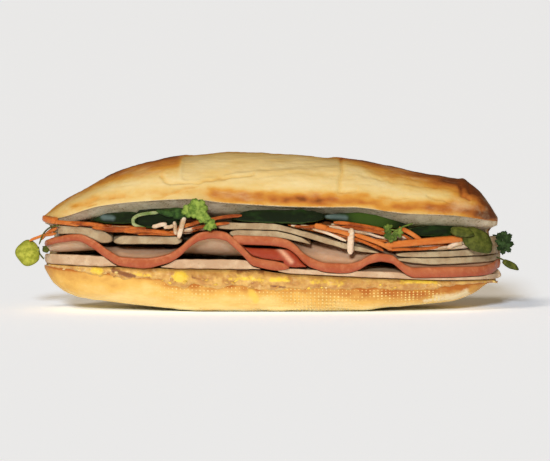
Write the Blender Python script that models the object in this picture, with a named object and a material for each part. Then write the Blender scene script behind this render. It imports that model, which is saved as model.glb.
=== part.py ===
# Banh mi sandwich. A crusty roll is slit along its front and both ends and hinged at the back.
# Its fillings lie as sheets in the wedge between the two cut faces, with pickles, cucumber and
# coriander on top. X runs along the roll, the open front faces -Y, and the base rests on Z = 0.
# Sizes below are millimetres; the meshes are in metres.
import math

import bmesh
import bpy
from mathutils import Vector, noise

MM = 0.001
WELD = 0.000002

# Roll: 220 long, 72 deep, 77 high
HALF_LENGTH = 110.0
HALF_DEPTH = 36.0
PLAN_POWER = 3.2
PLAN_ROUND = 2.2
LIP_BACK = 0.5
HINGE_WALL = 6.0
CROWN_BACK = 5.0
BASE_FLAT_SHARE = 0.42
CUT_FALL = 0.29
CUT_RISE = 0.07
FRONT_CURVE, BACK_CURVE, BASE_CURVE = 0.86, 0.8, 0.7
UPPER_STEPS, CROWN_STEPS, BACK_STEPS, LOWER_STEPS = 8, 6, 4, 5

# Open ends: between the lips the hinge wall and the layers step back from the end
END_STEP_BACK = 6.0
END_STEP_RUN = 12.0

# Marks on the crust: lift in mm, then place and width along X in mm, then place and width around the
# crust, where 0 is the upper lip and 1 the crown
CRUST_BUMP = 0.45
SCORE = (-0.9, 33.5, 2.2)
CRACK = (0.9, 94.0, 2.4, 0.8, 0.25)
SLASH_LIFT = (0.7, -49.0, -8.0, 0.85, 0.3)
CREASE = (-0.8, -48.0, 6.0, 0.52, 0.07)

CROWN_LINE = [(-110, 45.4), (-103, 51), (-91, 57.8), (-75, 66.3), (-60, 71.2), (-44, 74.2), (-18, 77),
              (9, 75.6), (36, 73.4), (55, 70.1), (72, 66.4), (94, 62), (100.5, 57.8), (105.6, 51.6),
              (110, 44.4)]
BASE_LINE = [(-110, 19.8), (-105, 12.5), (-96, 7.4), (-77, 4.2), (-48, 1.3), (-30, 0), (42, 0), (55, 1.6),
             (87, 4.4), (93, 6.2), (100, 9.6), (106, 13), (110, 12.4)]
UPPER_LIP = [(-110, 43.6), (-102, 45), (-83, 51), (-65, 53.4), (-39, 54.8), (-22, 53), (21, 51), (38, 51),
             (64, 47.8), (86, 46.6), (110, 42.6)]
CRUMB_BAND = [(-110, 2), (-83, 3.2), (-39, 3.6), (-10, 2), (21, 0.8), (38, 1.6), (64, 3), (86, 3.2), (110, 2)]
LOWER_LIP = [(-110, 21.4), (-90, 21), (-75, 19.8), (-48, 17.6), (-20, 16.2), (10, 15.2), (60, 14),
             (110, 13.6)]

# Spread: butter, egg mayonnaise and pate over the lower cut face, running over the lip
SPREAD_TOP = [(-110, 22.3), (-75, 21.8), (-48, 21.3), (-8, 20.9), (4, 19.2), (27, 18), (60, 16.7),
              (110, 15.2)]
SPREAD_RUN = [(-110, 0.1), (-98, 0.2), (-88, 0.5), (-80, 0.3), (-60, 0.35), (-45, 0.95), (-36, 0.5),
              (-20, 0.8), (-4, 0.95), (6, 1), (20, 0.5), (44, 0.6), (60, 0.35), (72, 0.6), (84, 0.3),
              (110, 0.1)]
SPREAD_THICK = 1.3
SPREAD_LEAST_RUN = 0.06
SPREAD_UNEVEN = 0.12
SPREAD_DEPTHS = [0.0, 0.3, 0.9]

# Sheets: heights of the front edges, read along X
PORK_LEFT_TOP = [(-110, 27.2), (-95, 27.5), (-74, 26.6)]
PORK_MIDDLE_TOP = [(-53, 25.2), (-40, 26), (-20, 25.9), (-5, 25)]
PORK_RIGHT_TOP = [(4, 21.9), (27, 20.6), (60, 19.8), (69, 17.7), (110, 17.4)]
HAM_LEFT_LINE = [(-110, 31.8), (-104, 34.2), (-93, 35.9), (-86, 33.2), (-79, 28.4), (-72, 24.8), (-61, 24.1),
                 (-50, 26.2), (-44, 29.5), (-39, 34), (-34, 37), (-27, 38), (-22, 37.1), (-17.8, 34),
                 (-13, 29.4), (-8.6, 25.2), (2, 22.7)]
HAM_RIGHT_LINE = [(-15, 35.4), (0, 34.8), (7, 33.6), (11.8, 30.7), (15.4, 26.9), (19.4, 24.4), (27, 22.1),
                  (36, 21.7), (42, 23), (47.5, 25.9), (52, 26.9), (57.8, 26.1), (62, 23), (65.3, 20.6),
                  (69, 19.4), (100, 19.4), (106, 20.2), (110, 22.2)]
HAM_THICK = 3.1
HAM_FOLD_TOP = [(-14, 32), (-8, 31.4), (6, 30.8), (12, 29), (15.4, 25.3), (19, 22.9)]
HAM_FOLD_BOTTOM = [(-14, 31.2), (-8.6, 27), (-1, 25), (5.5, 24), (19, 21.8)]
ROLL_SLICE_LEFT = [(-104, 38), (-94, 37.6), (-84, 37), (-75, 35.8)]
ROLL_SLICE_LEFT_TOP = [(-104, 40.8), (-97, 41), (-90, 41), (-75, 38.2)]
ROLL_SLICE_SECOND = [(-77, 33.1), (-43, 33.3)]
ROLL_SLICE_SECOND_TOP = [(-77, 35), (-70, 37.2), (-43, 36.8)]
ROLL_SLICE_LONG = [(-25, 40.6), (0, 40.2), (15, 37), (27, 33.4), (36, 31), (52, 28.4)]
ROLL_SLICE_LONG_TOP = [(-25, 43.8), (0, 43.2), (15, 39.8), (27, 36.2), (36, 33.6), (52, 29.8)]
ROLL_SLICE_UNDER = [(-18, 37), (0, 36.8), (14, 34.3), (20, 32)]
ROLL_SLICE_UNDER_TOP = [(-18, 40.1), (0, 39.7), (14, 36.8), (20, 34)]
ROLL_SLICE_RIGHT = [(60, 24.9), (64, 24.6), (78, 23.2), (110, 23.8)]
ROLL_SLICE_RIGHT_TOP = [(60, 26.6), (78, 26.2), (110, 26.8)]
ROLL_SLICE_END = [(60, 27.2), (64, 27), (78, 26.7), (110, 27.3)]
ROLL_SLICE_END_TOP = [(60, 29), (86, 29.5), (110, 31.1)]

# Pickle heaps: carrot and daikon shreds round a core
HEAP_LEFT_BOTTOM = [(-104, 41.2), (-90, 41.4), (-76, 39.2), (-66, 37.7), (-43, 37.3), (-30, 39.4)]
HEAP_LEFT_TOP = [(-104, 43.6), (-86, 43), (-67, 42.6), (-63.4, 40.8), (-44.5, 40.8), (-39.5, 44.6), (-30, 44)]
HEAP_RIGHT_BOTTOM = [(6, 42.6), (15, 40.3), (27, 36.7), (36, 34.1), (52, 30.4), (58, 29.8), (86, 29.9),
                     (108, 31.5)]
HEAP_RIGHT_TOP = [(6, 43.4), (15, 42.8), (27, 44), (36, 43.6), (50, 42), (62, 40), (70, 35.8), (90, 35.8),
                  (108, 35.6)]
SHRED_DEEP = 2.4
SHRED_STEPS = 2

# Shreds: both ends as x, height and distance before the lips, then the width and how far they bow up
LEFT_SHREDS = [
    ((-109.6, 44.4, 3.2), (-102.6, 43.4, 1.9), 4.2, 0.0),
    ((-104, 42.9, 1.8), (-78, 41.6, 2.4), 2.4, 0.3),
    ((-84, 41.4, 2.2), (-62, 40.6, 2.0), 2.8, -0.4),
    ((-70.4, 39.5, 2.9), (-48, 39.3, 2.6), 2.3, 0.8),
    ((-60, 38.5, 2.0), (-44, 38.3, 2.1), 1.7, 0.3),
    ((-57, 42, 2.0), (-45, 43.4, 2.4), 2.2, -0.3),
    ((-52, 41, 3.0), (-46, 42.6, 3.2), 2.6, 0.0),
    ((-42.6, 45.8, 2.6), (-44.6, 37, 3.8), 3.4, 0.0),
    ((-40, 42.4, 2.2), (-26, 45.2, 2.2), 2.8, 0.4),
]
RIGHT_SHREDS = [
    ((16, 42, 2.2), (38, 37.6, 2.4), 3.4, 0.6),
    ((24, 40, 2.0), (46, 33.4, 2.2), 2.6, 0.8),
    ((30, 43, 2.0), (52, 39.4, 2.4), 2.6, 0.6),
    ((39.4, 40.6, 2.6), (37.2, 28.6, 4.2), 3.6, 0.0),
    ((41, 37, 2.2), (56, 31, 2.4), 3.6, 0.5),
    ((46, 40, 2.2), (64, 36.6, 2.4), 2.6, 0.5),
    ((61, 41.4, 2.6), (72, 34.4, 2.8), 3.4, 0.8),
    ((54, 32.8, 2.6), (90, 34.8, 2.8), 4.2, 0.3),
    ((60, 31.6, 2.0), (80, 31.4, 2.2), 2.2, 0.0),
    ((85, 31.8, 2.8), (93, 33.8, 3.0), 3.6, 0.0),
    ((72, 34.6, 1.8), (96, 34.2, 1.8), 2.2, 0.2),
]

# Coriander leaf: a fan of lobes round its base
LEAF_THICK = 0.45
LEAF_REACH = 125
LEAF_STEPS = 8
LEAF_CUP = 0.25

# Cucumber slices, skin to the front
CUCUMBERS = {
    "cucumber_left": ((-87, -64.6), [(-87, 43.6), (-78, 43), (-63, 43.2)],
                      [(-87, 45.4), (-78, 48), (-63, 49)]),
    "cucumber_curl": ((-63.6, -44), [(-66, 41.6), (-44, 41.6)],
                      [(-66, 43.8), (-61, 46.4), (-56, 48.4), (-44, 49.8)]),
    "cucumber_centre": ((-20, 25.4), [(-20, 44.6), (0, 43.9), (10, 43.4), (27, 44.6)],
                        [(-20, 47.4), (-8, 49.8), (10, 50), (27, 48.6)]),
    "cucumber_middle": ((26.6, 66), [(25, 45.2), (40, 44), (66, 39.8)], [(25, 47.8), (44, 48.6), (66, 44.2)]),
    "cucumber_right": ((67, 95), [(66, 38.4), (72, 36.9), (95, 36.4)], [(66, 41.4), (80, 42), (95, 40.2)]),
}

# Share of the wedge that each layer takes deep inside, from the lower cut face (0) to the upper (1)
SHARES = {"spread": (0.02, 0.08), "pork": (0.11, 0.31), "hamLow": (0.34, 0.43), "hamFold": (0.455, 0.5),
          "hamHigh": (0.525, 0.61), "sliceLow": (0.635, 0.72), "sliceHigh": (0.745, 0.83),
          "heap": (0.855, 0.91), "cucumber": (0.935, 0.985)}
WAVE_DEPTH = 0.26
BAND_DEPTH = 0.16
GAP = 0.35
LIP_OVERHANG = 1.2
CUCUMBER_REACH = 0.26
SLICE_REACH = 0.9

# Colours before light, red green blue
CRUST_TONE = (0.80, 0.55, 0.24)
SPREAD_TONE = (0.85, 0.55, 0.18)
PORK_TONE = (0.72, 0.50, 0.33)
SLICE_TONE = (0.66, 0.50, 0.34)
HAM_TONE = (0.50, 0.13, 0.07)
FOLD_TONE = (0.38, 0.05, 0.03)
CARROT_TONE = (0.55, 0.18, 0.05)
CUCUMBER_TONE = (0.05, 0.11, 0.02)
FRESH_LEAF = (0.36, 0.44, 0.06)
DEEP_LEAF = (0.05, 0.13, 0.02)
OLIVE_LEAF = (0.14, 0.16, 0.03)
CURLY_LEAF = (0.03, 0.07, 0.015)
TIP_LEAF = (0.12, 0.18, 0.03)

# Grid shared by all layers, so that neighbours never cross
STATION_COUNT = 46
END_CROWDING = 0.35
DEPTH_LINES = [0.0, 0.04, 0.1, 0.16, 0.26, 0.9]
LEAST_STEP = 1.4


def smooth(t):
    t = min(max(t, 0.0), 1.0)
    return t * t * (3 - 2 * t)


def line(knots, x):
    # Monotone cubic through the knots, level past its ends
    if x <= knots[0][0]:
        return knots[0][1]
    if x >= knots[-1][0]:
        return knots[-1][1]
    slopes = [(b[1] - a[1]) / (b[0] - a[0]) for a, b in zip(knots, knots[1:])]
    k = next(i for i in range(len(slopes)) if x <= knots[i + 1][0])
    width = knots[k + 1][0] - knots[k][0]
    t = (x - knots[k][0]) / width
    m0 = tangent(slopes, k - 1, k)
    m1 = tangent(slopes, k, k + 1)
    return (knots[k][1] * (1 + 2 * t) * (1 - t) ** 2 + knots[k + 1][1] * t * t * (3 - 2 * t)
            + width * (m0 * t * (1 - t) ** 2 - m1 * t * t * (1 - t)))


def tangent(slopes, before, after):
    if before < 0:
        return slopes[0]
    if after >= len(slopes):
        return slopes[-1]
    a, b = slopes[before], slopes[after]
    return 0.0 if a * b <= 0 else 2 * a * b / (a + b)


def stations():
    places = []
    for i in range(STATION_COUNT + 1):
        t = 2 * i / STATION_COUNT - 1
        places.append(HALF_LENGTH * ((1 - END_CROWDING) * t + END_CROWDING * math.sin(math.pi * t / 2)))
    return places


def halfDepth(x):
    reach = min(abs(x) / (HALF_LENGTH + 0.3), 0.9973)
    return HALF_DEPTH * (1 - reach ** PLAN_POWER) ** (1 / PLAN_ROUND)


def frontLip(x):
    return -(halfDepth(x) - LIP_BACK)


def hingeInside(x):
    depth = halfDepth(x)
    return depth - min(HINGE_WALL, depth / 2)


def planY(x, v):
    return frontLip(x) + v * (hingeInside(x) - frontLip(x))


def planX(x, v):
    # Near the ends everything between the lips steps back towards the hinge
    return x - math.copysign(END_STEP_BACK, x) * smooth((abs(x) - HALF_LENGTH) / END_STEP_RUN + 1) * smooth(v)


def lowerCut(x, v):
    return line(LOWER_LIP, x) + CUT_RISE * (planY(x, v) - frontLip(x))


def upperPlane(x, v):
    # The upper cut face without its raised front edge: the fillings stay under this
    return line(UPPER_LIP, x) - line(CRUMB_BAND, x) - CUT_FALL * (planY(x, v) - frontLip(x))


def upperCut(x, v):
    return upperPlane(x, v) + line(CRUMB_BAND, x) * (1 - smooth(v / BAND_DEPTH))


def ridge(value, centre, width):
    return math.exp(-((value - centre) / width) ** 2)


def crustRelief(x, around):
    # Soft unevenness, a cross score, the lifted edge of the long slash, a crack at the right and a crease
    bump = CRUST_BUMP * noise.noise(Vector((x / 17, around * 2.2, 3.1)))
    score = SCORE[0] * ridge(x, SCORE[1] + 2 * around, SCORE[2]) * smooth(2 - around)
    crack = CRACK[0] * ridge(x, CRACK[1], CRACK[2]) * ridge(around, CRACK[3], CRACK[4])
    lift, start, end, level, width = SLASH_LIFT
    slash = lift * smooth((x - start) / 5) * smooth((end - x) / 30) * ridge(around, level, width)
    lift, start, end, level, width = CREASE
    crease = lift * smooth((x - start) / 12) * smooth((end - x) / 20) * ridge(around, level + x / 500, width)
    return bump + score + crack + slash + crease


def curvePower(value, power):
    return math.copysign(abs(value) ** power, value)


def quarterPoint(a, start, end, roundness):
    # Quarter of a superellipse: at a = 0 in start, leaving it along Z, and at a = 1 in end, along Y
    angle = a * math.pi / 2
    c, s = curvePower(math.cos(angle), roundness), curvePower(math.sin(angle), roundness)
    return end[0] + (start[0] - end[0]) * c, start[1] + (end[1] - start[1]) * s


def crustPoints(x):
    # Outer crust in the YZ plane, from the upper front lip over the crown and the back to the lower lip
    depth = halfDepth(x)
    crown = (-CROWN_BACK * depth / HALF_DEPTH, line(CROWN_LINE, x))
    middle = (lowerCut(x, 1) + upperPlane(x, 1)) / 2
    base = line(BASE_LINE, x)
    flat = BASE_FLAT_SHARE * depth
    upperLip, lowerLip = (frontLip(x), line(UPPER_LIP, x)), (frontLip(x), line(LOWER_LIP, x))
    back = (depth, middle)
    points = [quarterPoint(a / UPPER_STEPS, upperLip, crown, FRONT_CURVE) for a in range(UPPER_STEPS + 1)]
    points += [quarterPoint(1 - a / CROWN_STEPS, back, crown, FRONT_CURVE) for a in range(1, CROWN_STEPS + 1)]
    points += [quarterPoint(a / BACK_STEPS, back, (flat, base), BACK_CURVE) for a in range(1, BACK_STEPS + 1)]
    points += [quarterPoint(1 - a / LOWER_STEPS, lowerLip, (-flat, base), BASE_CURVE)
               for a in range(LOWER_STEPS + 1)]
    return [relieved(x, k, p, len(points)) for k, p in enumerate(points)]


def backShare(k):
    # How far a crust point follows the end's step back: none at the crown and base, all at the hinge
    rise = (k - UPPER_STEPS) / CROWN_STEPS
    return smooth(rise) if rise < 1 else smooth((UPPER_STEPS + CROWN_STEPS + BACK_STEPS - k) / BACK_STEPS)


def relieved(x, k, point, count):
    # The relief fades at both lips and on the base, which stays flat
    around = k / 9
    fade = smooth(k / 3) * smooth((count - 9 - k) / 3) if k < count - 6 else 0.0
    centre = Vector((0.0, (line(UPPER_LIP, x) + line(LOWER_LIP, x)) / 2))
    outward = (Vector(point) - centre).normalized()
    lift = crustRelief(x, around) * fade * min(1.0, halfDepth(x) / 20)
    return point[0] + outward[0] * lift, point[1] + outward[1] * lift


def wedgeHeight(x, v, front, share):
    # Height of a filling's face: its front height at the lip, easing to its share of the wedge inside
    low0, high0 = lowerCut(x, 0), upperPlane(x, 0)
    ease = smooth(v / WAVE_DEPTH)
    part = (front - low0) / (high0 - low0) * (1 - ease) + share * ease
    return lowerCut(x, v) + part * (upperPlane(x, v) - lowerCut(x, v))


def rowY(x, v, out):
    return planY(x, v) - (LIP_OVERHANG + out if v == 0 else 0.0)


def newObject(name, vertices, triangles, colour, roughness):
    mesh = bpy.data.meshes.new(name)
    mesh.from_pydata([(p[0] * MM, p[1] * MM, p[2] * MM) for p in vertices], [], triangles)
    shell = bmesh.new()
    shell.from_mesh(mesh)
    bmesh.ops.triangulate(shell, faces=[f for f in shell.faces if len(f.verts) > 3])
    bmesh.ops.recalc_face_normals(shell, faces=shell.faces)
    shell.to_mesh(mesh)
    shell.free()
    mesh.shade_smooth()
    mesh.set_sharp_from_angle(angle=math.radians(40))
    made = bpy.data.objects.new(name, mesh)
    bpy.context.scene.collection.objects.link(made)
    made.data.materials.append(finish(name, colour, roughness))
    return made


def finish(name, colour, roughness):
    material = bpy.data.materials.new(name)
    material.use_nodes = True
    shader = material.node_tree.nodes["Principled BSDF"]
    shader.inputs["Base Color"].default_value = (*colour, 1.0)
    shader.inputs["Roughness"].default_value = roughness
    shader.inputs["Metallic"].default_value = 0.0
    return material


def gridTriangles(columns, rows, first, turned):
    # Both faces of a sheet are split along the same diagonal
    triangles = []
    for i in range(columns - 1):
        for j in range(rows - 1):
            a = first + i * rows + j
            b, c, d = a + rows, a + rows + 1, a + 1
            triangles += [(a, c, b), (a, d, c)] if turned else [(a, b, c), (a, c, d)]
    return triangles


def rimTriangles(columns, rows):
    # Side wall between the lower grid and the upper grid of a sheet
    ring = [i * rows for i in range(columns)]
    ring += [(columns - 1) * rows + j for j in range(1, rows)]
    ring += [i * rows + rows - 1 for i in range(columns - 2, -1, -1)]
    ring += [j for j in range(rows - 2, 0, -1)]
    lift = columns * rows
    triangles = []
    for a, b in zip(ring, ring[1:] + ring[:1]):
        triangles += [(a, a + lift, b + lift), (a, b + lift, b)]
    return triangles


def sheet(name, span, bottom, top, layer, out, colour, reach=SLICE_REACH, roughness=0.45):
    # A filling between two front lines, over the stations inside the span
    inner = [x for x in stations() if span[0] + LEAST_STEP < x < span[1] - LEAST_STEP]
    places = [span[0]] + inner + [span[1]]
    depths = [v for v in DEPTH_LINES if v <= reach]
    vertices = []
    for edge, share in ((bottom, SHARES[layer][0]), (top, SHARES[layer][1])):
        for x in places:
            vertices += [(planX(x, v), rowY(x, v, out(x)), wedgeHeight(x, v, edge(x), share)) for v in depths]
    count = len(places) * len(depths)
    triangles = gridTriangles(len(places), len(depths), 0, True)
    triangles += gridTriangles(len(places), len(depths), count, False)
    triangles += rimTriangles(len(places), len(depths))
    return newObject(name, vertices, triangles, colour, roughness)


def follow(knots, shift=0.0):
    return lambda x: line(knots, x) + shift


def under(knots, limit):
    # A top line that stays clear of the layer above it
    return lambda x: min(line(knots, x), limit(x) - GAP)


def over(knots, limit):
    return lambda x: max(line(knots, x), limit(x) + GAP)


def even(amount, wave=0.0, length=23.0):
    # How far a layer's front edge stands out past the lips
    return lambda x: amount + wave * math.sin(x / length * 2 * math.pi)


def roll():
    places = stations()
    cuts = DEPTH_LINES + [1.0]
    vertices = []
    for x in places:
        crust = [(planX(x, backShare(k)), *p) for k, p in enumerate(crustPoints(x))]
        lower = [(planX(x, v), planY(x, v), lowerCut(x, v)) for v in cuts[1:]]
        upper = [(planX(x, v), planY(x, v), upperCut(x, v)) for v in reversed(cuts[1:])]
        loop = crust + lower + upper
        vertices += loop
    size = len(loop)
    upperStart = size - len(cuts)
    faces = []
    for i in range(len(places) - 1):
        for k in range(size):
            a, d = i * size + k, i * size + (k + 1) % size
            b, c = a + size, d + size
            faces += [(a, b, d), (b, c, d)] if k >= upperStart else [(a, b, c), (a, c, d)]
    faces.append(tuple(range(size)))
    faces.append(tuple(range((len(places) - 1) * size, len(places) * size)))
    return newObject("bread_roll", vertices, faces, CRUST_TONE, 0.6)


def spread():
    # Slab over the lower cut face that turns down over the lip, following the crust's first facet
    places = [x for x in stations() if abs(x) < HALF_LENGTH - 1]
    vertices = []
    for x in places:
        lip, below = (Vector(p) for p in (crustPoints(x)[-1], crustPoints(x)[-2]))
        run = min(line(SPREAD_RUN, x) + SPREAD_UNEVEN * noise.noise(Vector((x / 5, 0, 8))), 1.0)
        tip = lip.lerp(below, max(run, SPREAD_LEAST_RUN))
        down = (below - lip).normalized()
        out = Vector((down[1], -down[0]))
        if out[0] > 0:
            out.negate()
        thick = SPREAD_THICK * (0.6 + 0.5 * run)
        top = [(planX(x, v), rowY(x, v, -0.8), wedgeHeight(x, v, line(SPREAD_TOP, x), SHARES["spread"][1]))
               for v in reversed(SPREAD_DEPTHS)]
        shoulder = lip + out * (GAP + thick)
        outer = [(x, shoulder[0], shoulder[1] + 0.5), (x, *(tip + out * (GAP + 0.8 * thick)))]
        inner = [(x, *(tip + out * GAP)), (x, *(lip + out * GAP + Vector((0, GAP))))]
        bottom = [(planX(x, v), planY(x, v), lowerCut(x, v) + GAP) for v in SPREAD_DEPTHS[1:]]
        loop = top + outer + inner + bottom
        vertices += loop
    size = len(loop)
    faces = []
    for i in range(len(places) - 1):
        for k in range(size):
            a, d = i * size + k, i * size + (k + 1) % size
            b, c = a + size, d + size
            faces += [(a, b, c), (a, c, d)] if k > len(SPREAD_DEPTHS) else [(a, b, d), (b, c, d)]
    faces.append(tuple(range(size)))
    faces.append(tuple(range((len(places) - 1) * size, len(places) * size)))
    return newObject("egg_and_pate_spread", vertices, faces, SPREAD_TONE, 0.35)


def hamUnder(knots):
    return follow(knots, -HAM_THICK / 2)


def hamOver(knots):
    return follow(knots, HAM_THICK / 2)


def porkSlices():
    base = follow(SPREAD_TOP, GAP)
    rows = (
        ("pork_roll_lower_left", (-110, -74), PORK_LEFT_TOP, HAM_LEFT_LINE, even(0.3)),
        ("pork_roll_lower_middle", (-53, -5), PORK_MIDDLE_TOP, HAM_LEFT_LINE, even(0.2)),
        ("pork_roll_lower_right", (3, 110), PORK_RIGHT_TOP, HAM_RIGHT_LINE, even(0.5, 0.2)),
    )
    for name, span, top, ham, out in rows:
        sheet(name, span, base, under(top, hamUnder(ham)), "pork", out, PORK_TONE)


def hamSlices():
    sheet("ham_left", (-110, 2), hamUnder(HAM_LEFT_LINE), hamOver(HAM_LEFT_LINE), "hamLow",
          even(1.1, 0.4, 60), HAM_TONE)
    sheet("ham_right", (-14, 110), hamUnder(HAM_RIGHT_LINE), hamOver(HAM_RIGHT_LINE), "hamHigh",
          even(1.0, 0.3, 50), HAM_TONE)
    sheet("ham_fold", (-13, 18), over(HAM_FOLD_BOTTOM, belowFold),
          under(HAM_FOLD_TOP, hamUnder(HAM_RIGHT_LINE)), "hamFold", even(0.6), FOLD_TONE, 0.3)


def belowFold(x):
    # Top of the left ham slice, and past its end of the lower pork roll slice
    return hamOver(HAM_LEFT_LINE)(x) if x < 3 else line(PORK_RIGHT_TOP, x)


def hamTop(x):
    return hamOver(HAM_LEFT_LINE)(x) if x < -15 else hamOver(HAM_RIGHT_LINE)(x)


def upperSlices():
    rows = (
        ("pork_roll_upper_left", (-103.5, -76), ROLL_SLICE_LEFT, ROLL_SLICE_LEFT_TOP, "sliceHigh", 0.6),
        ("pork_roll_upper_second", (-76, -42.6), ROLL_SLICE_SECOND, ROLL_SLICE_SECOND_TOP, "sliceLow", 0.4),
        ("pork_roll_upper_under", (-20, 19), ROLL_SLICE_UNDER, ROLL_SLICE_UNDER_TOP, "sliceLow", 0.0),
        ("pork_roll_upper_long", (-26, 52), ROLL_SLICE_LONG, ROLL_SLICE_LONG_TOP, "sliceHigh", 0.5),
        ("pork_roll_upper_right", (62, 110), ROLL_SLICE_RIGHT, ROLL_SLICE_RIGHT_TOP, "sliceLow", 0.2),
        ("pork_roll_upper_end", (61, 110), ROLL_SLICE_END, ROLL_SLICE_END_TOP, "sliceHigh", 0.6),
    )
    for name, span, bottom, top, layer, out in rows:
        sheet(name, span, over(bottom, hamTop), follow(top), layer, even(out), SLICE_TONE)


def ceiling(x):
    return upperPlane(x, 0)


def cucumbers():
    for name, (span, bottom, top) in CUCUMBERS.items():
        sheet(name, span, follow(bottom), under(top, ceiling), "cucumber", even(0.5), CUCUMBER_TONE,
              CUCUMBER_REACH, 0.3)


def facing(x, out):
    # A point's depth when it lies that far in front of the lips
    return -(halfDepth(x) + 0.7 + out)


def place(x, z, out):
    return Vector((x, facing(x, out), z))


def tube(path, radii, sides, turn=0.0, squash=1.0):
    # Closed tube along a path of points, given as vertices and faces
    vertices, faces = [], []
    for n, point in enumerate(path):
        ahead = (path[min(n + 1, len(path) - 1)] - path[max(n - 1, 0)]).normalized()
        side = ahead.cross(Vector((0, 1, 0)))
        side = side.normalized() if side.length > 0.05 else Vector((1, 0, 0))
        up = side.cross(ahead)
        for s in range(sides):
            angle = turn + 2 * math.pi * s / sides
            offset = side * math.cos(angle) + up * math.sin(angle) * squash
            vertices.append(point + offset * radii[n])
    for n in range(len(path) - 1):
        for s in range(sides):
            a, b = n * sides + s, n * sides + (s + 1) % sides
            faces += [(a, b, b + sides), (a, b + sides, a + sides)]
    faces.append(tuple(reversed(range(sides))))
    faces.append(tuple(range((len(path) - 1) * sides, len(path) * sides)))
    return vertices, faces


def shred(start, end, width, bow):
    # A strip of carrot or daikon from start to end, each given as x, z and distance before the lips
    a, b = Vector(start), Vector(end)
    path = []
    for n in range(SHRED_STEPS + 1):
        x, z, out = a.lerp(b, n / SHRED_STEPS)
        path.append(place(x, z + bow * math.sin(math.pi * n / SHRED_STEPS), out))
    radius = width / math.sqrt(2)
    return tube(path, [radius] * len(path), 4, math.pi / 4, SHRED_DEEP / width)


def joined(name, core, additions):
    # The additions are fused to the core by one union over their collection
    holder = bpy.data.collections.new(name + "_pieces")
    bpy.context.scene.collection.children.link(holder)
    for n, (vertices, faces) in enumerate(additions):
        piece = newObject(f"{name}_piece_{n}", vertices, faces, CARROT_TONE, 0.4)
        bpy.context.scene.collection.objects.unlink(piece)
        holder.objects.link(piece)
    union = core.modifiers.new("union", "BOOLEAN")
    union.operation = "UNION"
    union.operand_type = "COLLECTION"
    union.collection = holder
    union.solver = "EXACT"
    bpy.context.view_layer.update()
    solid = bpy.data.meshes.new_from_object(core.evaluated_get(bpy.context.evaluated_depsgraph_get()))
    core.modifiers.remove(union)
    old = core.data
    core.data = solid
    core.data.name = name
    bpy.data.meshes.remove(old)
    keepLargest(core.data)
    for piece in list(holder.objects):
        bpy.data.objects.remove(piece)
    bpy.data.collections.remove(holder)
    core.data.materials.clear()
    core.data.materials.append(bpy.data.materials[name])
    return core


def keepLargest(mesh):
    # Drops any scrap that the union leaves beside the main body
    shell = bmesh.new()
    shell.from_mesh(mesh)
    bmesh.ops.remove_doubles(shell, verts=shell.verts, dist=WELD)
    bmesh.ops.dissolve_degenerate(shell, edges=shell.edges, dist=WELD)
    bmesh.ops.triangulate(shell, faces=[f for f in shell.faces if len(f.verts) > 3])
    left, islands = set(shell.faces), []
    while left:
        island, edge = set(), [left.pop()]
        while edge:
            face = edge.pop()
            island.add(face)
            near = {other for e in face.edges for other in e.link_faces} & left
            left -= near
            edge += near
        islands.append(island)
    islands.sort(key=len)
    for island in islands[:-1]:
        bmesh.ops.delete(shell, geom=list(island), context="FACES")
    loose = [v for v in shell.verts if not v.link_faces]
    bmesh.ops.delete(shell, geom=loose, context="VERTS")
    shell.to_mesh(mesh)
    shell.free()


def pickleHeaps():
    left = sheet("pickle_heap_left", (-104, -30), follow(HEAP_LEFT_BOTTOM), under(HEAP_LEFT_TOP, ceiling),
                 "heap", even(1.0), CARROT_TONE, 0.5)
    joined("pickle_heap_left", left, [shred(*ends) for ends in LEFT_SHREDS])
    right = sheet("pickle_heap_right", (6, 104), follow(HEAP_RIGHT_BOTTOM), follow(HEAP_RIGHT_TOP), "heap",
                  even(1.0), CARROT_TONE, 0.5)
    joined("pickle_heap_right", right, [shred(*ends) for ends in RIGHT_SHREDS])


def leaf(base, direction, normal, size):
    # A three-lobed coriander leaf, thin and wavy, with both faces split alike
    along = direction.normalized()
    face = (normal - along * normal.dot(along)).normalized()
    across = face.cross(along)
    vertices, faces = [], []
    for side in (-LEAF_THICK / 2, LEAF_THICK / 2):
        vertices.append(base + along * (0.3 * size) + face * side)
        vertices.append(base - along * LEAF_THICK + face * side)
        for s in range(LEAF_STEPS + 1):
            angle = math.radians(2 * LEAF_REACH * s / LEAF_STEPS - LEAF_REACH)
            lobe = 0.74 + 0.26 * abs(math.cos(1.5 * angle)) ** 0.7
            radius = size * lobe * (0.78 + 0.22 * math.cos(angle))
            bend = LEAF_CUP * size * (0.4 + 0.6 * math.cos(3 * angle + 1))
            vertices.append(base + along * (radius * math.cos(angle)) + across * (radius * math.sin(angle))
                            + face * (bend + side))
    layer = LEAF_STEPS + 3
    rim = list(range(1, layer))
    for a, b in zip(rim, rim[1:] + rim[:1]):
        faces += [(0, b, a), (layer, a + layer, b + layer), (a, b, b + layer), (a, b + layer, a + layer)]
    return vertices, faces


def sprig(name, stem, radius, leaves, colour):
    # Stem through the given places, with leaves fused on: each has its base, heading, facing and size
    path = [place(*p) for p in stem]
    vertices, faces = tube(path, [radius] * len(path), 4)
    core = newObject(name, vertices, faces, colour, 0.45)
    pieces = []
    for x, z, out, heading, tip, size in leaves:
        direction = Vector((math.cos(math.radians(heading)), -tip, math.sin(math.radians(heading))))
        normal = Vector((0.25 * math.sin(x), -1.0, 0.35))
        pieces.append(leaf(place(x, z, out), direction, normal, size))
    return joined(name, core, pieces)


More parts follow.
